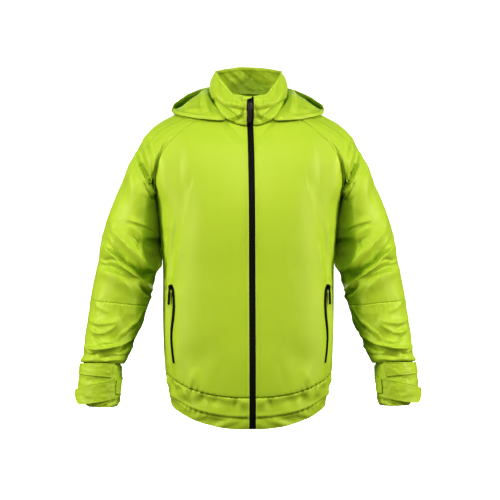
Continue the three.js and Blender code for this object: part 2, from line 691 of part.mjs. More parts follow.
function zipTape(hand) {
  const widths = [SEAM_GAP / 2, ZIP_HALF - 0.5];
  const points = steps(TAPE_STEPS).map((t) => widths.map((width) => zipLine(hand, width, t)));
  return wallSolid(points, gridNormals(points, false, hand), { wall: TAPE_WALL });
}
for (const hand of [1, -1]) add(nameFor("zip_tape", hand), zipTape(hand), BLACK);

// The cloth tab folded over the top of the front zip. Its foot slopes from a point
// beside the zip up to the zip's far edge.
const CHIN_EDGE = [
  { x: -15, foot: 0.82 },
  { x: -10, foot: 0.85 },
  { x: -5, foot: 0.89 },
  { x: 0, foot: 0.92 },
  { x: 4, foot: 0.94 },
];

function chinGuard() {
  const points = steps(2).map((t) =>
    CHIN_EDGE.map(({ x, foot }) => {
      const hand = x < 0 ? -1 : 1;
      const point = collarPoint(hand, -angleAtWidth(NECK_ROW, Math.abs(x)), mix(foot, 0.99, t));
      return point.setX(x).setY(point.y - LAY_GAP - CLOTH);
    }),
  );
  return wallSolid(points, gridNormals(points, false, 1));
}
add("chin_guard", chinGuard(), LIME);

// Pocket zips, drawn as the front view shows them on the wearer's left
const POCKET_LINE = [
  { x: 176, z: -429 },
  { x: 170.5, z: -442 },
  { x: 168, z: -470 },
  { x: 169.5, z: -500 },
  { x: 174, z: -535 },
  { x: 173.5, z: -565 },
  { x: 167, z: -603 },
];
const POCKET_STEPS = 16;
const POCKET_ZIP_HALF = 2.4;

function pocketZip(hand) {
  const at = (position, offset) => {
    const { x, z } = rowAt(POCKET_LINE, position);
    const { angle, level } = findOnFront(x + offset, z);
    const out = torsoNormal(hand, angle, level).multiplyScalar(LAY_GAP + TAPE_WALL);
    return torsoPoint(hand, angle, level).add(out);
  };
  const points = steps(POCKET_STEPS).map((t) =>
    [-POCKET_ZIP_HALF, 0, POCKET_ZIP_HALF].map((offset) => at(t * (POCKET_LINE.length - 1), offset)),
  );
  return wallSolid(points, gridNormals(points, false, -hand), { wall: TAPE_WALL });
}
for (const hand of [1, -1]) add(nameFor("pocket_zip", hand), pocketZip(hand), BLACK);

// Sliders and pulls
const wasm = await Module();
wasm.setup();

function toSolid(geometry) {
  const flat = geometry.index ? geometry.toNonIndexed() : geometry;
  const found = new Map();
  const vertices = [];
  const triangles = [];
  const position = flat.getAttribute("position");
  for (let k = 0; k < position.count; k++) {
    const corner = [position.getX(k), position.getY(k), position.getZ(k)];
    const key = corner.map((value) => Math.round(value * 10000)).join(" ");
    if (!found.has(key)) {
      found.set(key, found.size);
      vertices.push(...corner);
    }
    triangles.push(found.get(key));
  }
  return new wasm.Manifold(
    new wasm.Mesh({
      numProp: 3,
      vertProperties: new Float32Array(vertices),
      triVerts: new Uint32Array(triangles),
    }),
  );
}

function toGeometry(solid) {
  const { vertProperties, triVerts } = solid.getMesh();
  const geometry = new THREE.BufferGeometry();
  geometry.setAttribute("position", new THREE.BufferAttribute(vertProperties, 3));
  geometry.setIndex(new THREE.BufferAttribute(triVerts, 1));
  geometry.computeVertexNormals();
  return geometry;
}

// A plate of a rounded outline, with its face square to y.
function plate(width, height, radius, thick) {
  const outline = new THREE.Shape();
  const [w, h] = [width / 2 - radius, height / 2 - radius];
  outline.absarc(w, h, radius, 0, Math.PI / 2);
  outline.absarc(-w, h, radius, Math.PI / 2, Math.PI);
  outline.absarc(-w, -h, radius, Math.PI, 1.5 * Math.PI);
  outline.absarc(w, -h, radius, 1.5 * Math.PI, 2 * Math.PI);
  outline.closePath();
  const extrusion = { depth: thick, bevelEnabled: false, curveSegments: 3 };
  const geometry = new THREE.ExtrudeGeometry(outline, extrusion);
  return geometry.translate(0, 0, -thick / 2).rotateX(Math.PI / 2);
}

const block = (x, y, z) => new THREE.BoxGeometry(x, y, z);

// A slider stands on the zip with an arch on its plate, and the pull's bar lies under
// the arch. The bar is at the middle of their frame, with y into the cloth.
const BAR = 1.6; // thickness of the pull's link and its round bar
const ARCH = 1.1; // thickness of the arch
const ROOM = 3; // clear height under the arch
const SPAN = 6.5; // length of the arch along the zip
const PLATE = 2; // thickness of the slider's plate
const SLACK = 0.6; // room at each side of the arch in the link
const STAND = ROOM / 2 + PLATE + 0.3; // from the cloth's face up to the bar

function sliderSolid({ slider: [width, height], arch }) {
  const base = toSolid(plate(width, height, width / 3, PLATE));
  const leg = (z) => toSolid(block(arch, ROOM + 1.2 * ARCH, ARCH)).translate([0, 0, z]);
  const top = toSolid(block(arch, ARCH, SPAN)).translate([0, -(ROOM + ARCH) / 2, 0]);
  const reach = (SPAN - ARCH) / 2;
  return toGeometry(
    base
      .translate([0, (ROOM + PLATE) / 2, ARCH + (SPAN - height) / 2])
      .add(leg(reach))
      .add(leg(-reach))
      .add(top),
  );
}

function pullSolid({ tab: [width, length], link, arch, side }) {
  const window = arch + 2 * SLACK;
  const ring = toSolid(plate(window + 2 * side, link, 0.9, BAR)).translate([0, 0, (BAR - link) / 2]);
  const hole = toSolid(block(window, BAR + 2, link)).translate([0, 0, BAR - link / 2]);
  const round = BAR / 2 - 0.05;
  const bar = toSolid(new THREE.CylinderGeometry(round, round, window + side, 16).rotateZ(Math.PI / 2));
  const tab = toSolid(plate(width, length, width / 2.6, 2.2)).translate([0, 0, 2 - link - length / 2]);
  return toGeometry(ring.subtract(hole).add(bar).add(tab));
}

// Stands a slider and its pull on the cloth, from the pivot, the way out of the cloth,
// the way along the zip and how far the pull leans off it.
function zipPull(name, pivot, out, down, sizes) {
  const back = out.clone().negate();
  const up = down.clone().negate();
  const across = new THREE.Vector3().crossVectors(back, up).normalize();
  const frame = new THREE.Group();
  frame.matrixAutoUpdate = false;
  frame.matrix.makeBasis(across, back, up.crossVectors(across, back)).setPosition(pivot);
  add(name.replace("*", "slider"), sliderSolid(sizes), DARK_METAL, frame);
  add(name.replace("*", "pull"), pullSolid(sizes).rotateY(radians(sizes.lean)), BLACK, frame);
  jacket.add(frame);
}

// The front slider sits below the chin guard.
const FRONT_SLIDER = { slider: [10.5, 15], link: 13, tab: [11, 30], arch: 2.4, side: 1.6, lean: 5 };
const FRONT_HEIGHT = 0.972; // share of the front zip's length at which the slider sits
const FRONT_SINK = 1.05; // the tapes lie this far behind their own curve there
const [zipBelow, zipAbove] = [-0.006, 0.006].map((step) => zipLine(1, 0, FRONT_HEIGHT + step));
const frontDown = zipBelow.clone().sub(zipAbove).normalize();
const frontOut = new THREE.Vector3(0, frontDown.z, -frontDown.y).normalize();
const frontPivot = zipLine(1, 0, FRONT_HEIGHT).addScaledVector(frontOut, STAND - FRONT_SINK);
zipPull("front_*", frontPivot, frontOut, frontDown, FRONT_SLIDER);

// The pocket sliders stop at the top of each pocket, and their pulls hang down.
const POCKET_SLIDER = { slider: [6.5, 11], link: 14, tab: [6, 28], arch: 1.6, side: 1, lean: 0 };
for (const hand of [1, -1]) {
  const { angle, level } = findOnFront(175, -434);
  const out = torsoNormal(hand, angle, level);
  const down = new THREE.Vector3(0.1 * hand, 0, -1);
  down.addScaledVector(out, -down.dot(out)).normalize();
  const high = STAND + LAY_GAP + TAPE_WALL + 0.5;
  const pivot = torsoPoint(hand, angle, level).addScaledVector(out, high);
  zipPull(nameFor("pocket_*", hand), pivot, out, down, POCKET_SLIDER);
}

export default jacket;
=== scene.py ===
import json
import math

import bpy
import numpy as np
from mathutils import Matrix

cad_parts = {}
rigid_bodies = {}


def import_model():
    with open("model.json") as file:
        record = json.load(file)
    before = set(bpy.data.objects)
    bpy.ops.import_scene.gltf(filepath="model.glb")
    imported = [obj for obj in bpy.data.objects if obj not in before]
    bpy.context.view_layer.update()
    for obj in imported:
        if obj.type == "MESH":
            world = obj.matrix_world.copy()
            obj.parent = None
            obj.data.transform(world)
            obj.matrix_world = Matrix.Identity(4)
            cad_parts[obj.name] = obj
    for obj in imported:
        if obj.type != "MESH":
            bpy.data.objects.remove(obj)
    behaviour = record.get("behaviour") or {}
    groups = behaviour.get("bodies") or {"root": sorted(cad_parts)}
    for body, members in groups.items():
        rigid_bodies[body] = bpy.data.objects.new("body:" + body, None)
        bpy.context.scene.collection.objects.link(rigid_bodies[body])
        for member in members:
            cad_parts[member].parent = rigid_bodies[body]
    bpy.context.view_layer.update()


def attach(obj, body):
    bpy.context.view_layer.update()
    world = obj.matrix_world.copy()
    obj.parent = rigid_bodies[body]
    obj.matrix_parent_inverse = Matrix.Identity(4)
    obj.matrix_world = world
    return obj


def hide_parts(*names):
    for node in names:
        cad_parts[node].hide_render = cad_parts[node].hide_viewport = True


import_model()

# Camera, level with the middle of the jacket and two degrees to the wearer's right,
# with the field of view that puts 2.3 mm of the jacket's mid plane on each pixel.
MM = 0.001
SENSOR = 36
VIEW_DISTANCE = 2.6
VIEW_HEIGHT = -0.352
VIEW_TURN = math.radians(2)
MM_A_PIXEL = 2.3
HALF_IMAGE = 250
CENTRE_PIXEL = 248.5
camera_data = bpy.data.cameras.new("Camera")
camera_data.sensor_width = SENSOR
camera_data.lens = SENSOR / 2 * VIEW_DISTANCE / (HALF_IMAGE * MM_A_PIXEL * MM)
camera = bpy.data.objects.new("Camera", camera_data)
aside = (HALF_IMAGE - CENTRE_PIXEL) * MM_A_PIXEL * MM
camera.location = (
    -VIEW_DISTANCE * math.sin(VIEW_TURN) + aside * math.cos(VIEW_TURN),
    -VIEW_DISTANCE * math.cos(VIEW_TURN) - aside * math.sin(VIEW_TURN),
    VIEW_HEIGHT,
)
camera.rotation_euler = (math.pi / 2, 0, -VIEW_TURN)
bpy.context.collection.objects.link(camera)
bpy.context.scene.camera = camera
bpy.context.scene.view_settings.view_transform = "Standard"
bpy.context.scene.view_settings.look = "High Contrast"

# Studio: a wide pale floor under the jacket, white surroundings, a soft light above the
# front, one at each side, a weak one low at each side and a wide one behind.
FLOOR_DROP = -0.95
FLOOR_REACH = 14
LAMP_COLOUR = (1, 0.87, 0.8)


def node(tree, kind, inputs=(), **settings):
    """A shader node whose inputs are set to values or linked to other nodes' outputs."""
    made = tree.nodes.new(kind)
    for key, value in settings.items():
        setattr(made, key, value)
    for key, value in dict(inputs).items():
        if isinstance(value, bpy.types.NodeSocket):
            tree.links.new(value, made.inputs[key])
        else:
            made.inputs[key].default_value = value
    return made


def new_material(name, settings):
    """A material with some values of its shader set; gives its node tree too."""
    material = bpy.data.materials.new(name)
    material.use_nodes = True
    shader = material.node_tree.nodes["Principled BSDF"]
    for key, value in settings.items():
        shader.inputs[key].default_value = value
    return material, material.node_tree, shader


floor_mesh = bpy.data.meshes.new("floor")
corners = [(x, y, FLOOR_DROP) for x, y in ((-1, -1), (1, -1), (1, 1), (-1, 1))]
floor_mesh.from_pydata([(x * FLOOR_REACH, y * FLOOR_REACH, z) for x, y, z in corners], [], [(0, 1, 2, 3)])
floor = bpy.data.objects.new("floor", floor_mesh)
bpy.context.collection.objects.link(floor)
floor.visible_diffuse = False
floor.visible_glossy = False
PALE = {
    "Base Color": (0.92, 0.92, 0.92, 1),
    "Roughness": 0.9,
    "Specular IOR Level": 0.1,
    "Emission Color": (1, 1, 1, 1),
    "Emission Strength": 1,
}
floor_mesh.materials.append(new_material("Pale floor", PALE)[0])

world = bpy.data.worlds.new("Studio")
world.use_nodes = True
tree = world.node_tree
seen = node(tree, "ShaderNodeLightPath").outputs["Is Camera Ray"]
way = node(tree, "ShaderNodeTexCoord").outputs["Generated"]
height = node(tree, "ShaderNodeSeparateXYZ", {"Vector": way}).outputs["Z"]
spread = {"Value": height, "From Min": -0.1, "To Min": 0.02, "To Max": 0.24}
dome = node(tree, "ShaderNodeMapRange", spread)
tints = {"Factor": seen, "A": (0.55, 1, 0.7, 1), "B": (1, 1, 1, 1)}
tint = node(tree, "ShaderNodeMix", tints, data_type="RGBA")
power = node(tree, "ShaderNodeMix", {"Factor": seen, "A": dome.outputs["Result"], "B": 1.05})
sky = tree.nodes["Background"]
tree.links.new(tint.outputs["Result"], sky.inputs["Color"])
tree.links.new(power.outputs["Result"], sky.inputs["Strength"])
bpy.context.scene.world = world


def soft_light(name, place, aim, size, power):
    data = bpy.data.lights.new(name, "AREA")
    data.shape = "RECTANGLE"
    data.size, data.size_y = size
    data.energy = power
    data.color = LAMP_COLOUR
    light = bpy.data.objects.new(name, data)
    light.location = place
    away = [a - b for a, b in zip(place, aim)]
    light.rotation_euler = (
        math.atan2(math.hypot(away[0], away[1]), away[2]),
        0,
        math.atan2(away[1], away[0]) + math.pi / 2,
    )
    bpy.context.collection.objects.link(light)


SIDES = ((1, "left"), (-1, "right"))
soft_light("above_front", (0, -1.5, 0.7), (0, 0, -0.3), (0.45, 0.3), 10.6)
for hand, side in SIDES:
    soft_light(side, (2.1 * hand, -0.95, 0.45), (0.3 * hand, 0, -0.45), (0.35, 0.35), 27)
    soft_light(f"low_{side}", (1.9 * hand, -1.1, -0.75), (0.3 * hand, 0, -0.64), (0.4, 0.3), 10)
soft_light("behind", (0, 2.3, 0.4), (0, 0, -0.35), (2.4, 1.6), 20)

# Fronts and back: smooth lime polyester, cut with raglan armholes and sewn to the
# sleeves, the collar and the hem band. The zip's edges pucker where they are stitched.
BODY = (  # side, front, back, half, fore, aft, square, drop, from hem to neck
    (-703, -746, -738, 178, 120, 110, 2.4, 2),
    (-630, -676, -664, 190, 131, 117, 2.5, 2),
    (-550, -590, -578, 195, 135, 116, 2.45, 2),
    (-470, -497, -488, 196, 133, 110, 2.4, 2),
    (-395, -405, -400, 196, 131, 107, 2.4, 2),
    (-328, -330, -325, 201, 134, 109, 2.35, 2),
    (-265, -268, -258, 208, 135, 113, 2.3, 2),
    (-215, -226, -208, 216, 132, 117, 2.3, 2),
    (-165, -187, -157, 222, 126, 119, 2.3, 2),
    (-120, -152, -112, 219, 118, 116, 2.3, 2),
    (-77, -125, -72, 204, 108, 108, 2.3, 2),
    (-43, -103, -40, 172, 97, 97, 2.25, 1.9),
    (-20, -88, -12, 128, 89, 83, 2.2, 1.65),
    (-2, -77, 13, 86, 82, 68, 2.1, 1.35),
)
RAGLAN = (  # angle of the front seam and of the back seam, from armpit to neck
    (0, 0), (13, 14), (22, 24), (31, 35), (39, 43), (41.5, 46), (38, 46), (32, 43),
)
BAND_ROW = 1
ARMPIT_ROW = 6
NECK_ROW = len(BODY) - 1
ZIP_HALF = 7
ZIP_ASIDE = (5, 1)
CLOTH = 2
SEAM_GAP = 0.4
LAY_GAP = 0.6

BODY_FOLDS = (  # x1, z1, x2, z2, x3, z3, half width at the left and right, height
    (128, -205, 158, -320, 172, -415, 26, 26, -6),
    (60, -560, 110, -600, 150, -600, 34, 34, -4),
)
BODY_CREASES = (
    (132, -222, 152, -310, 172, -412, 9, 24, 3.2),
    (168, -300, 176, -360, 176, -420, 5, 9, -3),
    (176, -300, 186, -350, 182, -412, 5, 7, 3.4),
    (184, -310, 192, -370, 188, -440, 4, 5, -4),
    (158, -350, 163, -400, 172, -424, 4, 7, 3.6),
    (192, -330, 190, -390, 182, -452, 4, 5, 4),
    (184, -450, 188, -520, 184, -610, 4, 5, 4),
    (178, -450, 182, -540, 176, -620, 4, 4, -3.4),
    (192, -440, 194, -520, 190, -600, 4, 4, -3.4),
    (160, -450, 158, -520, 164, -600, 6, 9, 2.2),
    (52, -60, 34, -88, 16, -104, 4, 6, -2),
    (60, -84, 44, -106, 22, -122, 5, 7, 1.8),
    (70, -150, 84, -210, 80, -270, 30, 30, -2),
    (110, -110, 124, -170, 118, -230, 20, 24, 1),
    (134, -96, 146, -140, 142, -190, 14, 18, 1.2),
    (150, -130, 160, -180, 152, -230, 12, 14, -1.6),
    (30, -300, 46, -380, 40, -460, 34, 34, 2.2),
    (100, -470, 84, -540, 110, -640, 30, 30, -2.6),
    (150, -590, 120, -650, 96, -668, 12, 16, 3),
    (160, -560, 166, -610, 158, -650, 9, 12, 3),
    (60, -600, 80, -640, 74, -676, 12, 14, -2.4),
    (120, -620, 140, -650, 134, -680, 7, 9, 2.8),
)
BACK_FOLDS = (
    (60, -250, 100, -340, 120, -450, 34, 34, -6),
    (20, -430, 60, -480, 70, -600, 36, 36, 5),
)
BACK_CREASES = (
    (150, -215, 160, -300, 176, -400, 10, 18, 3),
    (186, -300, 184, -380, 176, -440, 8, 10, -3),
    (30, -60, 60, -110, 96, -190, 26, 26, -2),
    (0, -120, 26, -220, 20, -330, 30, 30, 2.2),
    (120, -480, 110, -560, 130, -650, 18, 24, 2.6),
    (176, -470, 182, -540, 174, -620, 8, 9, -2.2),
    (70, -500, 50, -580, 64, -650, 26, 26, -2.4),
)


def read_table(rows, place):
    """Values between the rows of a table, through a smooth curve in every column."""
    rows = np.asarray(rows, float)
    place = np.asarray(place, float)
    last = len(rows) - 1
    low = np.clip(np.floor(place), 0, last - 1).astype(int)
    t = (place - low)[..., None]
    p, q, r, s = (rows[np.clip(low + step, 0, last)] for step in (-1, 0, 1, 2))
    return q + 0.5 * t * (r - p + t * (2 * p - 5 * q + 4 * r - s + t * (3 * (q - r) + s - p)))


def mix(a, b, t):
    return a + (b - a) * t


def hump(value, place, wide):
    return np.exp(-(((value - place) / wide) ** 2))


def smooth(value, low, high):
    t = np.clip((value - low) / (high - low), 0, 1)
    return t * t * (3 - 2 * t)


def unit(vectors):
    return vectors / np.maximum(np.linalg.norm(vectors, axis=-1, keepdims=True), 1e-9)


FOLD_STEPS = 14


def from_fold(fold, x, z):
    """Distance from a fold's bent line, its side, and the way along it, 0 to 1."""
    t = np.linspace(0, 1, FOLD_STEPS + 1)
    line = [(1 - t) ** 2 * fold[k] + 2 * t * (1 - t) * fold[2 + k] + t * t * fold[4 + k] for k in (0, 1)]
    away = np.full(x.shape, np.inf)
    side = np.ones(x.shape)
    along = np.zeros(x.shape)
    for k in range(FOLD_STEPS):
        dx, dz = line[0][k + 1] - line[0][k], line[1][k + 1] - line[1][k]
        px, pz = x - line[0][k], z - line[1][k]
        share = np.clip((px * dx + pz * dz) / (dx * dx + dz * dz), 0, 1)
        gap = np.hypot(px - share * dx, pz - share * dz)
        nearer = gap < away
        away = np.where(nearer, gap, away)
        side = np.where(nearer, np.sign(dx * pz - dz * px), side)
        along = np.where(nearer, (k + share) / FOLD_STEPS, along)
    return away, side, along


def fold_height(folds, x, z, soft=2.0):
    """How far the folds of a list lift the cloth at (x, z) of the front or back view."""
    high = np.zeros(x.shape)
    for fold in folds:
        spread = 3.2 * max(fold[6], fold[7])
        near = (x > min(fold[0:6:2]) - spread) & (x < max(fold[0:6:2]) + spread)
        near &= (z > min(fold[1:6:2]) - spread) & (z < max(fold[1:6:2]) + spread)
        if not near.any():
            continue
        away, side, along = from_fold(fold, x[near], z[near])
        wide = np.where(side > 0, fold[6], fold[7])
        fade = np.sqrt(np.sin(np.pi * mix(0.08, 0.92, along)))
        high[near] += fold[8] * fade * np.exp(-((away / wide) ** soft))
    return high


def cosine_sine(degrees):
    return np.cos(np.radians(degrees)), np.sin(np.radians(degrees))


def rounded(value, square):
    """A circle's cosine or sine drawn out towards a rounded square's."""
    return np.sign(value) * np.abs(value) ** (2 / square)


def body_form(hand, angle, level):
    """The body's smooth form: angle 0 at the side, -90 in front and 90 behind."""
    side, front, back, half, fore, aft, square, drop = np.moveaxis(read_table(BODY, level), -1, 0)
    cos, sin = cosine_sine(angle)
    ahead = sin < 0
    depth = np.where(ahead, fore, aft) * rounded(sin, square)
    end = np.where(ahead, front, back)
    height = side + (end - side) * np.abs(sin) ** np.where(ahead, drop, 2)
    return np.stack([hand * half * rounded(cos, square), depth, height], -1)


def body_facing(hand, angle, level):
    turn = np.clip(angle, -88, 88)
    row = np.minimum(level, NECK_ROW - 0.02)
    across = body_form(hand, turn + 1, row) - body_form(hand, turn - 1, row)
    up = body_form(hand, turn, row + 0.02) - body_form(hand, turn, np.maximum(row - 0.02, 0))
    return unit(np.cross(across, up) * np.asarray(hand, float)[..., None])


def seam_angle(level, column):
    angle = read_table(RAGLAN, np.maximum(level - ARMPIT_ROW, 0))[..., column]
    return np.where(level <= ARMPIT_ROW, 0, np.maximum(0, angle))


def body_cloth(hand, angle, level):
    """The body's cloth with its folds, which fade out towards the raglan seams."""
    point = body_form(hand, angle, level)
    front = angle < 0
    seam = np.where(front, seam_angle(level, 0), seam_angle(level, 1))
    fade = smooth(np.abs(angle) - seam, 2, 18) * smooth(NECK_ROW - level, 0, 2)
    x, z = hand * point[..., 0], point[..., 2]
    high = fade * np.where(front, fold_height(BODY_FOLDS, x, z), fold_height(BACK_FOLDS, x, z))
    easy = smooth(np.abs(angle) - seam, 0, 8) * smooth(NECK_ROW - level, 0, 0.6)
    ahead, behind = fold_height(BODY_CREASES, x, z, 1.5), fold_height(BACK_CREASES, x, z, 1.5)
    high += easy * np.where(front, ahead, behind)
    return point + body_facing(hand, angle, level) * high[..., None]


def angle_at_width(level, width):
    ring = read_table(BODY, level)
    share = np.abs(width / ring[..., 3]) ** (ring[..., 6] / 2)
    return np.degrees(np.arccos(np.sign(width) * share))


def beside_zip(hand, level, width):
    return -angle_at_width(level, width + hand * mix(*ZIP_ASIDE, level / NECK_ROW))


def grid(rows, columns):
    return np.meshgrid(rows, columns, indexing="ij")


def grid_facing(points, closed, flip):
    """Directions square to a grid of points."""
    if closed:
        across = np.roll(points, -1, 1) - np.roll(points, 1, 1)
    else:
        across = np.gradient(points, axis=1)
    return unit(np.cross(across, np.gradient(points, axis=0)) * flip)


def run_lengths(points):
    """Distances along a grid's rows and along its columns, from their start."""
    runs = []
    for axis in (1, 0):
        step = np.linalg.norm(np.diff(points, axis=axis), axis=-1)
        zero = np.zeros_like(step[:, :1] if axis else step[:1])
        runs.append(np.concatenate([zero, np.cumsum(step, axis=axis)], axis))
    return runs


def nearest(values, wanted):
    return int(np.argmin(np.abs(values - wanted)))


NOISE_CELLS = 24
NOISE = np.random.default_rng(41).random((NOISE_CELLS,) * 3)


def soft_noise(points, size):
    """Smooth noise from -1 to 1 over space, with lumps of a stated size in mm."""
    place = points / np.asarray(size, float)
    low = np.floor(place).astype(int)
    t = place - low
    t = t * t * (3 - 2 * t)
    total = 0
    for corner in np.ndindex(2, 2, 2):
        weight = np.prod([np.where(c, t[..., k], 1 - t[..., k]) for k, c in enumerate(corner)], 0)
        x, y, z = (np.mod(low[..., k] + c, NOISE_CELLS) for k, c in enumerate(corner))
        total = total + weight * NOISE[x, y, z]
    return 2 * total - 1


def crinkle(points, size, high):
    """Small sharp creases between soft lumps, as thin woven polyester keeps them."""
    fine = soft_noise(points, size)
    finer = soft_noise(points + 57, np.asarray(size) * 0.55)
    return high * (0.5 - np.sqrt(np.abs(fine))) + 0.5 * high * finer


def make_object(name, vertices, faces, material, uv=None):
    mesh = bpy.data.meshes.new(name)
    mesh.from_pydata(np.asarray(vertices, float).reshape(-1, 3) * MM, [], np.asarray(faces).tolist())
    mesh.polygons.foreach_set("use_smooth", np.ones(len(mesh.polygons), bool))
    if uv is not None:
        layer = mesh.uv_layers.new(name="Cloth")
        corner = np.empty(len(mesh.loops), int)
        mesh.loops.foreach_get("vertex_index", corner)
        layer.data.foreach_set("uv", np.asarray(uv, np.float32)[corner].ravel())
    mesh.materials.append(material)
    piece = bpy.data.objects.new(name, mesh)
    bpy.context.collection.objects.link(piece)
    return piece


def shell(name, points, flip, closed=False, wall=CLOTH * 0.8, material=None):
    """A cloth piece: a grid of outer points and the same points moved in by a wall."""
    rows, columns = points.shape[:2]
    inner = points - grid_facing(points, closed, flip) * wall
    vertices = np.concatenate([points.reshape(-1, 3), inner.reshape(-1, 3)])
    number = np.arange(rows * columns).reshape(rows, columns)
    if closed:
        number = np.concatenate([number, number[:, :1]], 1)
    back = number + rows * columns
    quads = [
        (number[:-1, :-1], number[:-1, 1:], number[1:, 1:], number[1:, :-1]),
        (back[:-1, :-1], back[1:, :-1], back[1:, 1:], back[:-1, 1:]),
        (number[0, 1:], number[0, :-1], back[0, :-1], back[0, 1:]),
        (number[-1, :-1], number[-1, 1:], back[-1, 1:], back[-1, :-1]),
    ]
    if not closed:
        quads.append((number[:-1, 0], number[1:, 0], back[1:, 0], back[:-1, 0]))
        quads.append((number[1:, -1], number[:-1, -1], back[:-1, -1], back[1:, -1]))
    faces = np.concatenate([np.stack(corners, -1).reshape(-1, 4) for corners in quads])
    if flip < 0:
        faces = faces[:, ::-1]
    uv = np.stack(run_lengths(points), -1).reshape(-1, 2) * MM
    return make_object(name, vertices, faces, material or LIME, np.concatenate([uv, uv]))


THREAD_RISE = 0.00004
CRUMPLE_SIZE = 0.03
GLOSS_SPREAD = 0.06
CLOTH_BUMP = (0.6, 1)  # strength and distance


def maths(tree, operation, *values):
    return node(tree, "ShaderNodeMath", enumerate(values), operation=operation).outputs[0]


def weave_group():
    """Plain weave: threads over and under each other, and soft crumpling over it."""
    group = bpy.data.node_groups.new("Plain weave", "ShaderNodeTree")
    for label, value in (("Thread", 0.0005), ("Crumple size", 0.02), ("Crumple", 0.3)):
        group.interface.new_socket(label, socket_type="NodeSocketFloat").default_value = value
    for label in ("Height", "Wear"):
        group.interface.new_socket(label, in_out="OUTPUT", socket_type="NodeSocketFloat")
    given = group.nodes.new("NodeGroupInput").outputs
    uv = node(group, "ShaderNodeUVMap", uv_map="Cloth").outputs["UV"]
    split = node(group, "ShaderNodeSeparateXYZ", {"Vector": uv}).outputs
    waves = []
    for axis in ("X", "Y"):
        turn = maths(group, "MULTIPLY", maths(group, "DIVIDE", split[axis], given["Thread"]), math.pi)
        waves.append(maths(group, "SINE", turn))
    place = node(group, "ShaderNodeTexCoord").outputs["Object"]
    scale = maths(group, "DIVIDE", 1, given["Crumple size"])
    lumps = {"Vector": place, "Scale": scale, "Detail": 5, "Roughness": 0.62, "Distortion": 0.5}
    crumple = node(group, "ShaderNodeTexNoise", lumps).outputs["Fac"]
    part = maths(group, "MULTIPLY", crumple, given["Crumple"])
    over = maths(group, "MULTIPLY", *waves)
    wear = node(group, "ShaderNodeTexNoise", {"Vector": place, "Scale": 9, "Detail": 3}).outputs["Fac"]
    height = maths(group, "MULTIPLY_ADD", over, THREAD_RISE, part)
    node(group, "NodeGroupOutput", {"Height": height, "Wear": wear})
    return group


WEAVE = weave_group()


def patterned(name, pattern, colour, worn, rough, bump, settings):
    """A material whose colour, gloss and small bumps follow a pattern's wear and height."""
    material, tree, shader = new_material(name, settings)
    height, wear = pattern(tree)
    shades = {"Factor": wear, "A": (*colour, 1), "B": (*worn, 1)}
    shift = node(tree, "ShaderNodeMix", shades, data_type="RGBA")
    gloss = node(tree, "ShaderNodeMapRange", {"Value": wear, "To Min": rough[0], "To Max": rough[1]})
    raised = node(tree, "ShaderNodeBump", {"Height": height, "Strength": bump[0], "Distance": bump[1]})
    tree.links.new(shift.outputs["Result"], shader.inputs["Base Color"])
    tree.links.new(gloss.outputs["Result"], shader.inputs["Roughness"])
    tree.links.new(raised.outputs["Normal"], shader.inputs["Normal"])
    return material


def cloth_material(name, colour, worn, roughness, crumple, thread, sheen=0):
    """Woven synthetic cloth, crumpled, with a colour and gloss that shift a little."""

    def weave(tree):
        given = {"Thread": thread, "Crumple size": CRUMPLE_SIZE, "Crumple": crumple}
        made = node(tree, "ShaderNodeGroup", given, node_tree=WEAVE)
        return made.outputs["Height"], made.outputs["Wear"]

    settings = {"Sheen Weight": sheen, "Sheen Roughness": 0.5, "Specular IOR Level": 0.35}
    span = (roughness - GLOSS_SPREAD, roughness + GLOSS_SPREAD)
    return patterned(name, weave, colour, worn, span, CLOTH_BUMP, settings)


LIME = cloth_material(
    "Lime polyester", (0.455, 0.63, 0.06), (0.42, 0.605, 0.054), 0.46, 0.0011, 0.0005, 0.04
)


def dressed(piece, slot, *replaced):
    """Puts a piece on the jacket, in place of the CAD's nodes; the slot it is given is not used."""
    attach(piece, "jacket")
    if replaced:
        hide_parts(*replaced)
    return piece


def sewn(name, replaced, *form, **settings):
    """A shell of lime cloth in place of a node of the CAD's."""
    return dressed(shell(name, *form, **settings), "shell_cloth", replaced)


def front_angle(hand, level, t):
    return mix(beside_zip(hand, level, ZIP_HALF), -seam_angle(level, 0), t)


def pucker(along, away, pitch, spread, high, slant=0.0):
    """Small gathers that run in from a line of stitches."""
    wobble = 2.2 * np.sin(along / 37.0) + 1.4 * np.sin(along / 13.7 + 1)
    strength = 0.55 + 0.45 * np.sin(along / 23.0 + 2) * np.sin(along / 71.0)
    wave = np.sin(2 * np.pi * (along + slant * away + wobble) / pitch)
    return high * strength * wave * np.exp(-away / spread)


def seam_dip(away, deep=1.1, wide=2.6):
    return -deep * hump(away, 0, wide)


def front_points(hand, levels, columns):
    level, t = grid(levels, np.linspace(0, 1, columns + 1))
    return body_cloth(hand, front_angle(hand, level, t), level)


def move_out(points, flip, high, closed=False):
    return points + grid_facing(points, closed, flip) * high[..., None]


THREAD = cloth_material("Lime thread", (0.55, 0.74, 0.05), (0.5, 0.7, 0.04), 0.5, 0, 0.0006)
STITCH = 2.4
STITCH_PITCH = 3.6
STITCH_WIDE = 0.8
STITCH_HIGH = 0.5
STITCH_FACES = np.array(
    [[0, 4, 3], [3, 4, 2], [2, 4, 1], [1, 4, 0], [3, 5, 0], [2, 5, 3], [1, 5, 2], [0, 5, 1]]
)


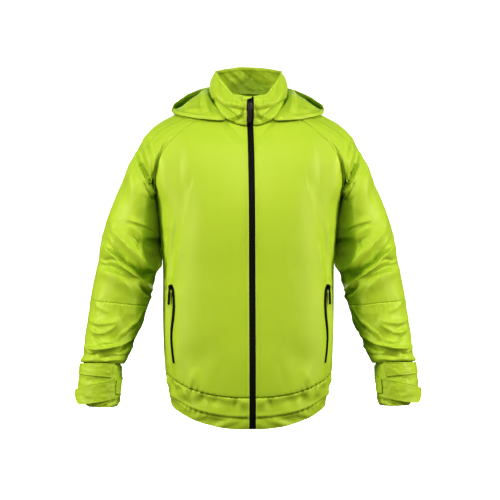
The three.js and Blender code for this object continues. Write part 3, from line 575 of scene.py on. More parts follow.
def stitches(name, points, flip, columns=(), rows=(), wide=STITCH_WIDE, form=None):
    """One mesh of short stitches along some columns and rows of a grid of cloth points.

    They lie square to the cloth's own grid, or to the plainer grid of its form.
    """
    facings = grid_facing(points if form is None else form, False, flip)
    lines = [(points[:, column], facings[:, column]) for column in columns]
    lines += [(points[row], facings[row]) for row in rows]
    vertices, faces = [], []
    for line, facing in lines:
        run = np.concatenate([[0], np.cumsum(np.linalg.norm(np.diff(line, axis=0), axis=1))])
        places = np.arange(STITCH_PITCH, run[-1] - STITCH_PITCH, STITCH_PITCH)

        def at(values, where):
            return np.stack([np.interp(where, run, values[:, k]) for k in range(3)], 1)

        centre, out = at(line, places), unit(at(facing, places))
        along = unit(at(line, places + 1) - at(line, places - 1))
        beside = np.cross(out, along)
        ends = along * STITCH / 2
        sides = beside * wide / 2
        rise = out * STITCH_HIGH
        corners = [centre + way for way in (-ends, sides, ends, -sides, rise, -rise)]
        first = 6 * np.arange(len(places))[:, None, None] + len(vertices) * 6
        faces.extend((first + STITCH_FACES).reshape(-1, 3).tolist())
        vertices.extend(np.stack(corners, 1))
    dressed(make_object(name, np.array(vertices), faces, THREAD), "shell_cloth")


ARMPIT_FULL = 15  # how far the cloth stands forward where chest and sleeve meet


def fill_armpit(points, hand):
    """Moves the cloth of the chest's side and the sleeve's cap forward together."""
    x, y, z = hand * points[..., 0], points[..., 1], points[..., 2]
    share = hump(x, 207, 27) * smooth(z, -262, -205) * (1 - smooth(z, -160, -95))
    moved = points.copy()
    moved[..., 1] -= ARMPIT_FULL * share * smooth(-y, 0, 45)
    return moved


PANEL_ROWS = (104, 70)  # below and above the armpit
FRONT_COLUMNS = 84
BACK_COLUMNS = 140
ZIP_STITCHES = (4, 9)  # from the zip's edge
HEM_STITCH = 4  # above the hem band's seam
STITCH_COLUMN = 40  # of the grid, where a row's distance is read
lower_levels = np.linspace(BAND_ROW, ARMPIT_ROW, PANEL_ROWS[0] + 1)
upper_levels = np.linspace(ARMPIT_ROW, NECK_ROW, PANEL_ROWS[1] + 1)
panel_levels = np.concatenate([lower_levels, upper_levels[1:]])

for hand, side in SIDES:
    points = fill_armpit(front_points(hand, panel_levels, FRONT_COLUMNS), hand)
    across, up = run_lengths(points)
    from_side = across[:, -1:] - across
    from_neck = up[-1:] - up
    high = crinkle(points, (60, 60, 90), 0.5)
    high += pucker(up, across, 7.5, 7, 1.0, 0.7)
    high += pucker(across, up, 12, 8, 1.6, 0.4) + pucker(across, from_neck, 9, 6, 0.6)
    high += seam_dip(from_side, 0.6, 1.8) + seam_dip(up, 1.4, 2.4) + seam_dip(from_neck)
    high += 0.8 * hump(across, 0, 4)
    points = move_out(points, hand, high)
    columns = [nearest(across[len(across) // 2], away) for away in ZIP_STITCHES]
    row = nearest(up[:, STITCH_COLUMN], HEM_STITCH)
    stitches(f"front_stitches_{side}", points, hand, columns, [row])
    piece = sewn(f"front_panel_{side}", f"front_{side}", points, hand)

back_share = np.linspace(0, 1, BACK_COLUMNS + 1)
level, share = grid(panel_levels, back_share)
hands = np.where(share < 0.5, 1, -1)
angle = mix(seam_angle(level, 1), 90, 1 - np.abs(1 - 2 * share))
points = body_cloth(hands, angle, level)
across, up = run_lengths(points)
from_sides = np.minimum(across, across[:, -1:] - across)
high = crinkle(points, (60, 60, 90), 0.6)
high += pucker(across, up, 13, 9, 0.5) + pucker(across, up[-1:] - up, 9, 6, 0.4)
high += seam_dip(from_sides) + seam_dip(up, 1.4, 2.4) + seam_dip(up[-1:] - up)
points = move_out(points, 1, high)
piece = sewn("back_panel", "back", points, 1)

# Hem band: a strip of the same cloth sewn round the bottom, turned under and stitched,
# so it gathers a little below its seam and above its hem.
BAND_ROWS = 27
BAND_COLUMNS = 96
HEM_TURN = 25  # the row of stitches above the hem, where the edge turned under ends
band_levels = np.linspace(0, BAND_ROW, BAND_ROWS + 1)


def band_height(points):
    """Gathers, drag lines and loose lumps of the band between its seam and its hem."""
    across, up = run_lengths(points)
    from_seam = up[-1:] - up
    flat = np.zeros_like(up)
    drag = soft_noise(np.stack([across, flat, flat], -1), (15, 9, 9))
    lean = soft_noise(np.stack([across + 1.2 * up + 200, flat, flat], -1), (22, 9, 9))
    broad = soft_noise(np.stack([across + 0.6 * up + 90, up, flat], -1), (38, 30, 9))
    loose = hump(from_seam, 12, 11)
    high = pucker(across, from_seam, 11, 7, 2.6, 0.5) + 4.6 * drag * loose
    high += pucker(across, np.abs(up - HEM_TURN), 12, 6, 1.8, -0.4)
    high += 4.4 * lean * smooth(HEM_TURN - up, 0, 12) * smooth(up, -6, 10)
    high += 3.2 * broad * smooth(from_seam, 0, 20) * smooth(up, 20, 34)
    high += seam_dip(from_seam, 2.4, 2.4) + seam_dip(np.abs(up - HEM_TURN), 2.0, 2.2)
    high += 1.4 * hump(up, HEM_TURN + 6, 4)
    return high + crinkle(points, (30, 30, 30), 1.0)


for hand, side in SIDES:
    points = front_points(hand, band_levels, BAND_COLUMNS)
    across = run_lengths(points)[0]
    from_side = across[:, -1:] - across
    high = band_height(points) * smooth(across, -4, 8) * smooth(from_side, 0, 10)
    high += seam_dip(from_side)
    points = move_out(points, hand, high)
    row = nearest(run_lengths(points)[1][:, STITCH_COLUMN], HEM_TURN)
    stitches(f"hem_stitches_{side}", points, hand, rows=[row])
    piece = sewn(f"hem_front_{side}", f"hem_band_front_{side}", points, hand)

level, share = grid(band_levels, back_share)
angle = mix(0, 90, 1 - np.abs(1 - 2 * share))
points = body_cloth(np.where(share < 0.5, 1, -1), angle, level)
across = run_lengths(points)[0]
from_sides = np.minimum(across, across[:, -1:] - across)
high = band_height(points) * smooth(from_sides, 0, 10) + seam_dip(from_sides)
piece = sewn("hem_back", "hem_band_back", move_out(points, 1, high), 1)

# Sleeves: raglan sleeves of the same cloth, in two lengths sewn together above the
# elbow. They keep the bends of an arm as a few crisp folds and many small ones.
SLEEVE_START = (  # x, y, z of the way off the seam, how far it holds, how flush it lies
    (0.4, 0.1, -0.92, 60, 0),
    (0.85, 0.1, -0.5, 90, 0.1),
    (0.88, 0.2, -0.35, 130, 0.6),
    (0.85, 0.3, -0.35, 210, 1),
    (0.86, 0.3, -0.36, 320, 1),
    (0.92, 0.15, -0.35, 440, 0.8),
    (0.944, 0, -0.33, 480, 0.4),
)
SHOULDER_AT, SHOULDER_WIDE, SHOULDER_OUT, SHOULDER_UP = 0.39, 0.17, 5.4, 14
ARM = (  # x, y, z, tilt, pitch, half width, half depth, from upper arm to sleeve end
    (269.5, 2, -335, 13, 0, 68.3, 76),
    (270.5, 1, -374, 10, 0, 71, 74),
    (278.5, 0, -398, 8, 0, 67, 72),
    (286.5, -1, -430, 7, 0, 67.3, 71),
    (296, -3, -472, 6, 1, 65.3, 69),
    (304.5, -9, -514, 5, 2, 62, 65),
    (316, -15, -551, 4, 4, 56.5, 61),
    (319, -18, -572, 3, 5, 53.8, 58),
    (324.5, -22, -592, 2, 6, 51, 56),
    (330.5, -24, -603, 2, 7, 50.7, 56),
    (331.5, -25, -608, 2, 7, 48.5, 52),
)
ELBOW_ROW = 4
RING = 24  # columns of the sleeve round the arm
SEAM_COLUMNS = 10
NECK_COLUMNS = 4
UPPER_ROWS = 9
BICEP_ROWS = 4
FOREARM_ROWS = 7
CREASE_SOFT = 1.4
INNER_BACK = 14  # how far the inner arm's front slopes back towards the body
INNER_DROP = 0.9  # how steeply it drops back past the line where it turns in
INNER_TOUCH = 6  # how far the inner arm's cloth is pushed out onto the body's side
INNER_EDGE = (  # z, x of the line where the inner arm turns in
    (0, 0), (-150, 150), (-200, 190), (-240, 238), (-300, 246), (-330, 252),
    (-345, 251), (-367, 248), (-387, 231), (-404, 205), (-412, 190),
)
SLEEVE_FOLDS = (
    (262, -120, 240, -165, 222, -235, 13, 13, -11),
    (283, -130, 262, -185, 240, -250, 18, 18, 7),
    (300, -300, 268, -345, 228, -395, 16, 16, 8),
    (318, -385, 285, -390, 248, -425, 13, 13, -9),
    (336, -345, 290, -388, 228, -446, 14, 14, 8),
    (350, -395, 310, -400, 268, -440, 17, 17, 6),
    (368, -572, 320, -580, 262, -545, 13, 13, 6),
    (300, -560, 285, -572, 268, -560, 14, 14, -7),
)
SLEEVE_CREASES = (
    (255, -129, 244, -178, 206, -247, 16, 2.5, 7.5),
    (232, -128, 216, -165, 209, -205, 9, 9, 4),
    (250, -133, 238, -180, 202, -245, 2.5, 7.5, -8.5),
    (228, -188, 220, -205, 210, -226, 5, 7, -5.8),
    (240, -88, 232, -120, 226, -150, 5, 6, 4.5),
    (228, -96, 222, -125, 217, -152, 5, 6, -4.2),
    (256, -92, 252, -110, 250, -126, 5, 6, -3.8),
    (325.6, -345, 283, -386, 217, -446, 13, 5, 8.5),
    (325.6, -345, 283, -386, 217, -446, 2.4, 2.2, 5.2),
    (309, -349, 296, -362, 284, -374, 3, 6, -5.2),
    (288, -377, 256, -399, 222, -427, 2.6, 9, -13),
    (300, -352, 290, -366, 278, -378, 6, 9, -6.5),
    (334, -392, 306, -378, 262, -424, 3, 6, -5.9),
    (334, -404, 304, -392, 268, -436, 10, 4, 3.9),
    (322, -376, 306, -370, 290, -378, 3.4, 6, -6.5),
    (340, -374, 330, -380, 318, -384, 3, 5, 3.8),
    (246, -430, 237, -444, 224, -458, 4, 4, -11.3),
    (273, -285, 252, -289, 233, -303, 3, 7, 6),
    (264, -301, 246, -312, 251, -343, 7, 3, 6.8),
    (298, -310, 272, -342, 240, -380, 8, 3.5, 6),
    (253, -343, 243, -378, 218, -399, 10, 3, 8.5),
    (312, -322, 300, -346, 286, -362, 7, 3.5, 4.5),
    (258, -326, 252, -334, 257, -344, 3, 3, -6.6),
    (312, -262, 306, -300, 300, -338, 9, 9, 3.8),
    (330, -300, 326, -330, 332, -352, 8, 8, -3.8),
    (268, -180, 262, -215, 258, -262, 12, 12, 3.4),
    (300, -150, 292, -210, 276, -260, 14, 14, -2.6),
    (236, -410, 226, -424, 214, -436, 5, 6, -7.5),
    (362, -508, 340, -524, 297, -512, 4, 8, 6.8),
    (356, -531, 330, -549, 296, -520, 4, 8, 6.8),
    (350, -520, 336, -534, 318, -534, 3, 4, -5.6),
    (232, -476, 250, -510, 288, -540, 3, 8, 6.5),
    (236, -494, 256, -528, 282, -550, 4, 7, -7.5),
    (366, -570, 318, -580, 252, -545, 6, 3, 8.1),
    (366, -570, 318, -580, 252, -545, 2.2, 2.2, 3.1),
    (292, -580, 276, -574, 258, -556, 4, 7, -11.7),
    (350, -546, 338, -552, 326, -566, 3, 4, -6.4),
    (368, -572, 356, -580, 345, -590, 3, 3, 5.3),
    (362, -582, 352, -588, 340, -584, 3, 3, -4.9),
    (336, -556, 322, -562, 306, -556, 3, 5, 4.5),
    (300, -470, 292, -500, 276, -520, 10, 8, -3.8),
    (258, -470, 262, -500, 250, -530, 8, 8, 4.5),
    (330, -440, 342, -470, 340, -500, 12, 12, 3.8),
    (344, -470, 332, -486, 316, -490, 4, 5, 3.8),
    (270, -592, 300, -586, 330, -592, 5, 6, -4.5),
    (286, -598, 306, -594, 322, -600, 3, 4, 3.4),
)


def turn_at(column):
    return 180 - 360 * column / RING


def ring_point(hand, ring, turn, lift=0):
    """A point on a ring round the arm: turn 0 on the outer side and 90 in front."""
    x, y, z, tilt, pitch, half, deep = np.moveaxis(ring, -1, 0)
    cos, sin = cosine_sine(turn)
    across, ahead = (half + lift) * cos, (deep + lift) * sin
    level, rise = cosine_sine(tilt)
    height = z + across * rise + ahead * cosine_sine(pitch)[1]
    return np.stack(np.broadcast_arrays(hand * (x + across * level), y - ahead, height), -1)


def seam_place(column):
    """The sleeve's edge on the body: up the front seam, along the neck, down the back."""
    before = mix(ARMPIT_ROW, NECK_ROW, np.minimum(column / SEAM_COLUMNS, 1))
    behind = mix(ARMPIT_ROW, NECK_ROW, np.minimum((RING - column) / SEAM_COLUMNS, 1))
    t = (column - SEAM_COLUMNS) / NECK_COLUMNS
    ahead, after = column <= SEAM_COLUMNS, column >= RING - SEAM_COLUMNS
    neck = mix(-RAGLAN[-1][0], RAGLAN[-1][1], t)
    angle = np.where(ahead, -seam_angle(before, 0), np.where(after, seam_angle(behind, 1), neck))
    return angle, np.where(ahead, before, np.where(after, behind, NECK_ROW))


def shoulder_cloth(hand, column, t):
    """The sleeve's cloth from its seam on the body to the upper arm ring."""
    angle, level = seam_place(column)
    start = body_form(hand, angle, level)
    facing = body_facing(hand, angle, level)
    rise = 1 - np.abs(RING / 2 - column) / (RING / 2)
    x, y, z, pull, flush = np.moveaxis(read_table(SLEEVE_START, rise * (len(SLEEVE_START) - 1)), -1, 0)
    leave = np.stack([hand * x, np.where(column > RING / 2, -y, y), z], -1)
    leave = unit(leave - facing * (flush * (leave * facing).sum(-1))[..., None])
    end = ring_point(hand, np.asarray(ARM[0], float), turn_at(column))
    tilt = math.radians(ARM[0][3] + 4)
    arrive = np.array([hand * math.sin(tilt), 0, -math.cos(tilt)])
    hold = 1.05 * np.linalg.norm(start - end, axis=-1)[..., None]
    crown = smooth(rise, 0.45, 0.95)
    t = t[:, None]
    spread = hump(t, SHOULDER_AT, SHOULDER_WIDE)
    bump = (crown * spread * np.minimum(1, np.minimum(8 * t, 8 - 8 * t)))[..., None]
    t = t[..., None]
    return (
        start * (2 * t**3 - 3 * t**2 + 1)
        + leave * pull[:, None] * (t**3 - 2 * t**2 + t)
        + end * (3 * t**2 - 2 * t**3)
        + arrive * hold * (t**3 - t**2)
        + np.array([hand * SHOULDER_OUT, 0, SHOULDER_UP]) * bump
    )


def fold_sleeve(points, hand, fade, folds, soft=2.0):
    """Lifts a sleeve's points by folds, on its front and, moved along, on its back."""
    facing = grid_facing(points, True, -hand)
    strength = np.sqrt(np.abs(facing[..., 1]))
    shift = np.where(facing[..., 1] < 0, 0, 22)
    high = fold_height(folds, hand * points[..., 0], points[..., 2] + shift, soft)
    return points + facing * (fade[:, None] * strength * high)[..., None]


def drop_inner_arm(points, hand):
    """Slopes the inner arm's front back, most of all past the line of INNER_EDGE."""
    facing = grid_facing(points, True, -hand)
    level = points[..., 2].copy()
    slope = smooth(-hand * facing[..., 0], 0, 0.8) * smooth(-points[..., 1], 0, 40)
    slope *= smooth(level, -440, -395) * (1 - smooth(level, -262, -222))
    points[..., 1] += INNER_BACK * slope
    edge = np.interp(-level, [-z for z, _ in INNER_EDGE], [x for _, x in INNER_EDGE])
    past = np.maximum(0, edge - hand * points[..., 0])
    past = mix(1.3 * past, past**2 / (past + 10), smooth(level, -340, -322))
    points[..., 1] += INNER_DROP * past * smooth(-points[..., 1], -10, 25)


def push_inner_arm(points, hand):
    """Moves the inner arm's cloth onto the body's side."""
    inner = smooth(-hand * grid_facing(points, True, -hand)[..., 0], 0.3, 0.9)
    level = points[..., 2]
    touch = inner * smooth(level, -392, -350) * (1 - smooth(level, -225, -200))
    points[..., 0] -= hand * INNER_TOUCH * touch


FRONT_STEP, BACK_STEP = 1 / 11, 1 / 5  # of the ring's columns, finer where the folds show
SHOULDER_STEPS = (51, 71)  # near the seam and near the arm
BICEP_STEPS = 80
FOREARM_STEPS = 77
front_part, back_part = np.arange(0, RING / 2, FRONT_STEP), np.arange(RING / 2, RING, BACK_STEP)
sleeve_columns = np.concatenate([front_part, back_part])
sleeve_turns = turn_at(sleeve_columns)
by_seam, by_arm = np.linspace(0, 0.5, SHOULDER_STEPS[0] + 1), np.linspace(0.5, 1, SHOULDER_STEPS[1] + 1)
shoulder_t = np.concatenate([by_seam[:-1], by_arm])
bicep_t = np.linspace(0, 1, BICEP_STEPS + 1)[1:]
forearm_t = np.linspace(0, 1, FOREARM_STEPS + 1)
for hand, side in SIDES:
    shoulder = shoulder_cloth(hand, sleeve_columns, shoulder_t)
    bicep = ring_point(hand, read_table(ARM, bicep_t * ELBOW_ROW)[:, None], sleeve_turns)
    points = np.concatenate([shoulder, bicep])
    rows = np.concatenate([shoulder_t * UPPER_ROWS, UPPER_ROWS + bicep_t * BICEP_ROWS])
    points = fold_sleeve(points, hand, smooth(rows, 0, 3), SLEEVE_FOLDS)
    drop_inner_arm(points, hand)
    points = fill_armpit(points, hand)
    points = fold_sleeve(points, hand, smooth(rows, 0, 1.2), SLEEVE_CREASES, CREASE_SOFT)
    push_inner_arm(points, hand)
    around, up = run_lengths(points)
    high = crinkle(points, (26, 40, 34), 0.8) * smooth(rows, 1, 7)[:, None]
    high += seam_dip(up, 0.6, 1.8) + seam_dip(up[-1:] - up, 0.4, 1.6)
    high += pucker(around, up[-1:] - up, 10, 8, 0.4)
    points = move_out(points, -hand, high, True)
    piece = sewn(f"sleeve_upper_{side}", f"upper_sleeve_{side}", points, -hand, True)

    rings = read_table(ARM, mix(ELBOW_ROW, len(ARM) - 1, forearm_t))
    points = ring_point(hand, rings[:, None], sleeve_turns)
    rows = forearm_t * FOREARM_ROWS
    near_cuff = smooth(rows, FOREARM_ROWS - 1, FOREARM_ROWS)
    points = fold_sleeve(points, hand, 1 - smooth(rows, FOREARM_ROWS - 2, FOREARM_ROWS), SLEEVE_FOLDS)
    points = fold_sleeve(points, hand, 1 - near_cuff, SLEEVE_CREASES, CREASE_SOFT)
    around, up = run_lengths(points)
    high = crinkle(points, (20, 30, 22), 1.2) * (1 - near_cuff)[:, None]
    high += seam_dip(up, 0.4, 1.6) + pucker(around, up, 10, 8, 0.4)
    points = move_out(points, -hand, high, True)
    piece = sewn(f"sleeve_lower_{side}", f"lower_sleeve_{side}", points, -hand, True)

# Cuffs: a narrower tube set inside each sleeve's end and drawn in at its edge, a short
# flap with two rows of stitches, and a wide strap held by a loop.
CUFF = (  # x, y, z, tilt, pitch, half width, half depth, from inside the sleeve to the edge
    (331.5, -25, -607.8, 2, 7, 47.6, 51.1),
    (334.5, -27, -630, 2, 5, 48.6, 50),
    (338, -29, -652, 3, 3, 48.4, 48.5),
    (338.5, -31, -674, 3, 2, 47, 46),
    (335, -32, -692, 2, 2, 42, 44),
    (331, -32, -704, 1, 2, 33, 42),
)
STRAP = (*CUFF[:4], (337, -32, -700, 3, 2, 46, 44.5))
STRAP_GAP = 0.8
TIP_LIFT = 6  # how far the strap's tip stands off the cuff
FLAP_STITCH_WIDE = 1.4
RIB_PITCH = 3.4
# Each strap: root turn, top and foot row, tip turn, top and foot row, slant, sag
FLAP = (-40, 0.24, 1.04, 129, 0.1, 1.38, -7, 0)
TAB = (170, 1.3, 3.15, -3, 2.98, 4, 38, 0.2)
KEEPER = (162, 1.62, 3, 140, 1.62, 3, 0, 0)
CUFF_CREASES = (
    (296, -678, 320, -689, 346, -697, 3, 4, -4),
    (302, -689, 318, -697, 336, -702, 3, 3, -3.4),
    (306, -674, 326, -684, 350, -690, 3, 4, 2.4),
    (300, -684, 316, -693, 338, -700, 2.4, 2.4, 2.4),
    (298, -694, 306, -699, 316, -702, 2.4, 3, 2.2),
    (293, -604, 287, -616, 287, -632, 5, 8, -7),
    (374, -626, 350, -632, 320, -628, 4, 5, 2.4),
    (374, -640, 356, -646, 340, -640, 4, 4, -2),
)


def strap_points(hand, corners, rows, columns, lift):
    root, root_top, root_foot, tip, tip_top, tip_foot, slant, sag = corners
    down, t = grid(np.linspace(0, 1, rows + 1), np.linspace(0, 1, columns + 1))
    top = mix(root_top, tip_top, t) - sag * np.sin(np.pi * t)
    row = mix(top, mix(root_foot, tip_foot, t), down)
    return ring_point(hand, read_table(STRAP, row), mix(root, tip + slant * down, t), lift(t) + CLOTH)


def hem_ridge(points, wide):
    """A low ridge round a strap's edges, where its cloth is folded under."""
    across, up = run_lengths(points)
    edge = np.minimum(np.minimum(up, up[-1:] - up), np.minimum(across, across[:, -1:] - across))
    return hump(edge, 1.2, 1.2) - hump(edge, wide, 0.9)


TUCKED = 5  # how much narrower the cuff is inside the sleeve's end
CUFF_STEP = 1 / 7
CUFF_STEPS = 40
cuff_turns = turn_at(np.arange(0, RING, CUFF_STEP))
cuff_t = np.linspace(0, 1, CUFF_STEPS + 1)[:, None]
for hand, side in SIDES:
    points = ring_point(hand, read_table(CUFF, cuff_t * (len(CUFF) - 1)), cuff_turns)
    turn = np.radians(cuff_turns)
    high = 0.9 * np.sin(13 * turn + 7 * cuff_t) + 0.8 * np.sin(9 * turn - 11 * cuff_t)
    high *= smooth(cuff_t, 0.45, 1)
    x, z = hand * points[..., 0], points[..., 2]
    high += fold_height(CUFF_CREASES, x, z, CREASE_SOFT) * smooth(-points[..., 1], 0, 30)
    high += crinkle(points, (12, 12, 9), 1.8) * smooth(cuff_t, 0.05, 0.4)
    high -= TUCKED * (1 - smooth(cuff_t, 0.03, 0.09))
    piece = sewn(f"cuff_end_{side}", f"cuff_{side}", move_out(points, -hand, high, True), -hand, True)

    form = strap_points(hand, FLAP, 18, 90, lambda t: STRAP_GAP + 0 * t)
    high = crinkle(form, (16, 16, 8), 1.2) + 0.6 * hem_ridge(form, 3)
    points = move_out(form, hand, high)
    stitches(f"flap_stitches_{side}", points, hand, (-4, -7), (-4,), FLAP_STITCH_WIDE, form)
    piece = sewn(f"cuff_flap_band_{side}", f"cuff_flap_{side}", points, hand)

    form = strap_points(hand, TAB, 24, 90, lambda t: STRAP_GAP + TIP_LIFT * smooth(t, 0.78, 1))
    high = crinkle(form, (18, 18, 12), 1.2) + 0.6 * hem_ridge(form, 3)
    points = move_out(form, -hand, high)
    stitches(f"strap_stitches_{side}", points, -hand, (-5,), (3, -4), form=form)
    piece = sewn(f"cuff_strap_{side}", f"cuff_tab_{side}", points, -hand)

    points = strap_points(hand, KEEPER, 16, 20, lambda t: 2 * STRAP_GAP + CLOTH + 0 * t)
    ribs = 0.5 * np.sin(2 * np.pi * run_lengths(points)[0] / RIB_PITCH)
    points = move_out(points, -hand, ribs)
    piece = sewn(f"strap_loop_{side}", f"tab_keeper_{side}", points, -hand)

# Collar: a stand collar of two layers, open in front, a little crushed near the zip,
# with the small cloth guard folded over the zip's top.
COLLAR_TOP = dict(half=75, fore=87, aft=60, side=60, front=-10, back=78, square=2.1, drop=1.5)
COLLAR_DIP = (-61, 9, 6)  # in the front's edge: its angle, spread and depth
COLLAR_BOW = 9
COLLAR_LEVEL = float(NECK_ROW)
COLUMNS_FRONT, COLUMNS_SIDE, COLUMNS_NAPE = 60, 24, 40
COLLAR_STEPS = 40


def collar_point(hand, angle, t):
    """A point on the collar, from its seam with the neck at 0 to its top edge at 1."""
    hand, angle, t = np.broadcast_arrays(hand, angle, t)
    base = body_form(hand, angle, np.full(angle.shape, COLLAR_LEVEL))
    top = COLLAR_TOP
    cos, sin = cosine_sine(angle)
    ahead = sin < 0
    drawn = np.where(ahead, smooth(np.abs(base[..., 0]), 10, 45), 1)
    dip = COLLAR_DIP[2] * hump(angle, *COLLAR_DIP[:2])
    end = np.where(ahead, top["front"], top["back"])
    wide = mix(base[..., 0], hand * top["half"] * rounded(cos, top["square"]), drawn)
    deep = np.where(ahead, top["fore"], top["aft"]) * rounded(sin, top["square"])
    tall = top["side"] + (end - top["side"]) * np.abs(sin) ** top["drop"] - dip
    rim = np.stack([wide, deep, tall], -1)
    out = unit(base * (1, 1, 0))
    base = base + (0, 0, 0.5)
    t = t[..., None]
    return mix(base, rim, t) + out * 4 * COLLAR_BOW * t * (1 - t)


front_share = np.linspace(0, 1, COLUMNS_FRONT + 1)
side_angles = np.linspace(-RAGLAN[-1][0], RAGLAN[-1][1], COLUMNS_SIDE + 1)[1:]
nape_angles = np.linspace(RAGLAN[-1][1], 90, COLUMNS_NAPE + 1)[1:]
left_angles, right_angles = (
    np.concatenate([front_angle(hand, COLLAR_LEVEL, front_share), side_angles, nape_angles])
    for hand in (1, -1)
)
angles = np.concatenate([left_angles, right_angles[:-1][::-1]])
hands = np.concatenate([np.ones(len(left_angles)), -np.ones(len(right_angles) - 1)])
COLLAR_FOLDS = (  # on the front, in the front view
    (80, -12, 54, -38, 24, -60, 6, 3, -8.8),
    (86, -20, 62, -42, 34, -66, 8, 5, 5.9),
    (72, 0, 50, -26, 26, -46, 12, 9, 4.7),
    (48, -34, 30, -40, 8, -44, 4, 4, -5.1),
    (42, -24, 30, -32, 10, -34, 6, 5, 5.1),
    (38, -8, 42, -20, 34, -28, 5, 5, 3.9),
    (30, -14, 32, -24, 24, -32, 4, 4, -3.5),
    (20, -50, 30, -56, 44, -56, 5, 4, 3.5),
    (14, -58, 26, -66, 40, -66, 4, 4, -3.1),
    (76, 24, 72, 0, 66, -20, 8, 8, 3.1),
    (62, 30, 64, 8, 58, -10, 7, 7, -3.1),
    (14, -20, 10, -34, 14, -48, 4, 4, -3.1),
)
NAPE_FOLDS = (  # behind the neck, seen inside the collar's back
    (-66, 66, -40, 48, -16, 24, 8, 6, 3.2),
    (-46, 74, -12, 50, 18, 18, 9, 6, 3.4),
    (-20, 74, 10, 56, 46, 22, 7, 7, -3.2),
    (10, 78, 34, 62, 60, 44, 8, 6, 3),
    (30, 40, 48, 34, 66, 40, 6, 6, -2.4),
    (-60, 40, -36, 30, -10, 12, 7, 7, -2.8),
    (-10, 34, 16, 30, 40, 16, 6, 5, 2.6),
)
points = collar_point(hands, angles, np.linspace(0, 1, COLLAR_STEPS + 1)[:, None])
x, z = points[..., 0], points[..., 2]
ahead = fold_height(COLLAR_FOLDS, np.abs(x), z, CREASE_SOFT)
behind = -fold_height(NAPE_FOLDS, x, z, CREASE_SOFT)
high = np.where(points[..., 1] < 0, ahead, behind)
across, up = run_lengths(points)
from_ends, from_top = np.minimum(across, across[:, -1:] - across), up[-1:] - up
high *= smooth(up, 0, 5) * smooth(np.abs(points[..., 1]), 6, 30)
high += crinkle(points, (16, 16, 16), 0.9) * smooth(from_ends, 0, 6)
high += pucker(up, from_ends, 8, 7, 0.9, 0.6)
high += hump(from_top, 0, 2.2) - 1.2 * hump(from_top, 5.5, 1.6)
high += seam_dip(up, 1.6, 2.2)
points = move_out(points, 1, high)
stitches("collar_stitches", points, 1, rows=(3, -4))
piece = sewn("stand_collar", "collar", points, 1, wall=CLOTH)

GUARD_EDGE = ((-15, 0.82), (-10, 0.85), (-5, 0.89), (0, 0.92), (4, 0.94))  # x, share of height
GUARD_TOP = 0.99
GUARD_STEPS = (24, 10)
x, foot = read_table(GUARD_EDGE, np.linspace(0, len(GUARD_EDGE) - 1, GUARD_STEPS[0] + 1)).T
share = mix(foot, GUARD_TOP, np.linspace(0, 1, GUARD_STEPS[1] + 1)[:, None])
angle = -angle_at_width(np.full(x.shape, COLLAR_LEVEL), np.abs(x))
points = collar_point(np.where(x < 0, -1, 1), angle, share)
points[..., 0] = x
points[..., 1] -= LAY_GAP + CLOTH
piece = sewn("zip_guard", "chin_guard", points, 1)

# Hood: two halves sewn together down the middle and into the collar's seam, laid back
# so that the face opening's edge lies over the shoulders and the pouch hangs behind.
HOOD = (  # neck angle, then x, y and z of crest, inner wall, foot, belly and edge
    (-56, 53, -73, -57, 54, -74, -59, 55, -75, -60, 56, -76, -61, 57, -77, -62),
    (-40, 73, -62, -36, 74, -68, -43, 75, -73, -50, 76, -78, -56, 77, -82, -62),
    (-18, 96, -32, -4, 105, -43, -17, 111, -52, -30, 116, -60, -44, 120, -67, -57),
    (-2, 100, -8, 9, 117, -17, -5, 134, -26, -21, 148, -34, -35, 160, -41, -45),
    (12, 100, 14, 15, 119, 11, 2, 139, 6, -16, 158, 0, -28, 173, -6, -34),
    (36, 96, 44, 24, 120, 60, 0, 147, 66, -27, 177, 56, -27, 168, 42, -10),
    (56, 79, 74, 28, 96, 94, -20, 120, 115, -98, 149, 123, -44, 129, 99, 24),
    (75, 42, 90, 29, 52, 111, -50, 63, 131, -166, 85, 158, -90, 78, 132, 43),
    (90, 0.4, 92, 28, 0.4, 112, -62, 0.4, 134, -186, 0.4, 169, -108, 0.4, 148, 47),
)
HOOD_STEPS = 96
HOOD_SEAM_HEIGHT = 0.04
RIM_STITCH = 8  # from the hood's edge
HOOD_CREASES = (  # on the hood's front edges, in the front view
    (108, 6, 112, -16, 108, -40, 7, 7, 3.6),
    (98, -10, 96, -28, 88, -48, 5, 6, -3.4),
    (120, -12, 130, -26, 150, -34, 5, 6, 3.4),
    (104, -30, 120, -38, 138, -36, 4, 5, -3.1),
    (92, -40, 104, -46, 118, -46, 4, 4, 2.8),
    (128, -6, 140, -18, 156, -28, 5, 5, -2.8),
)

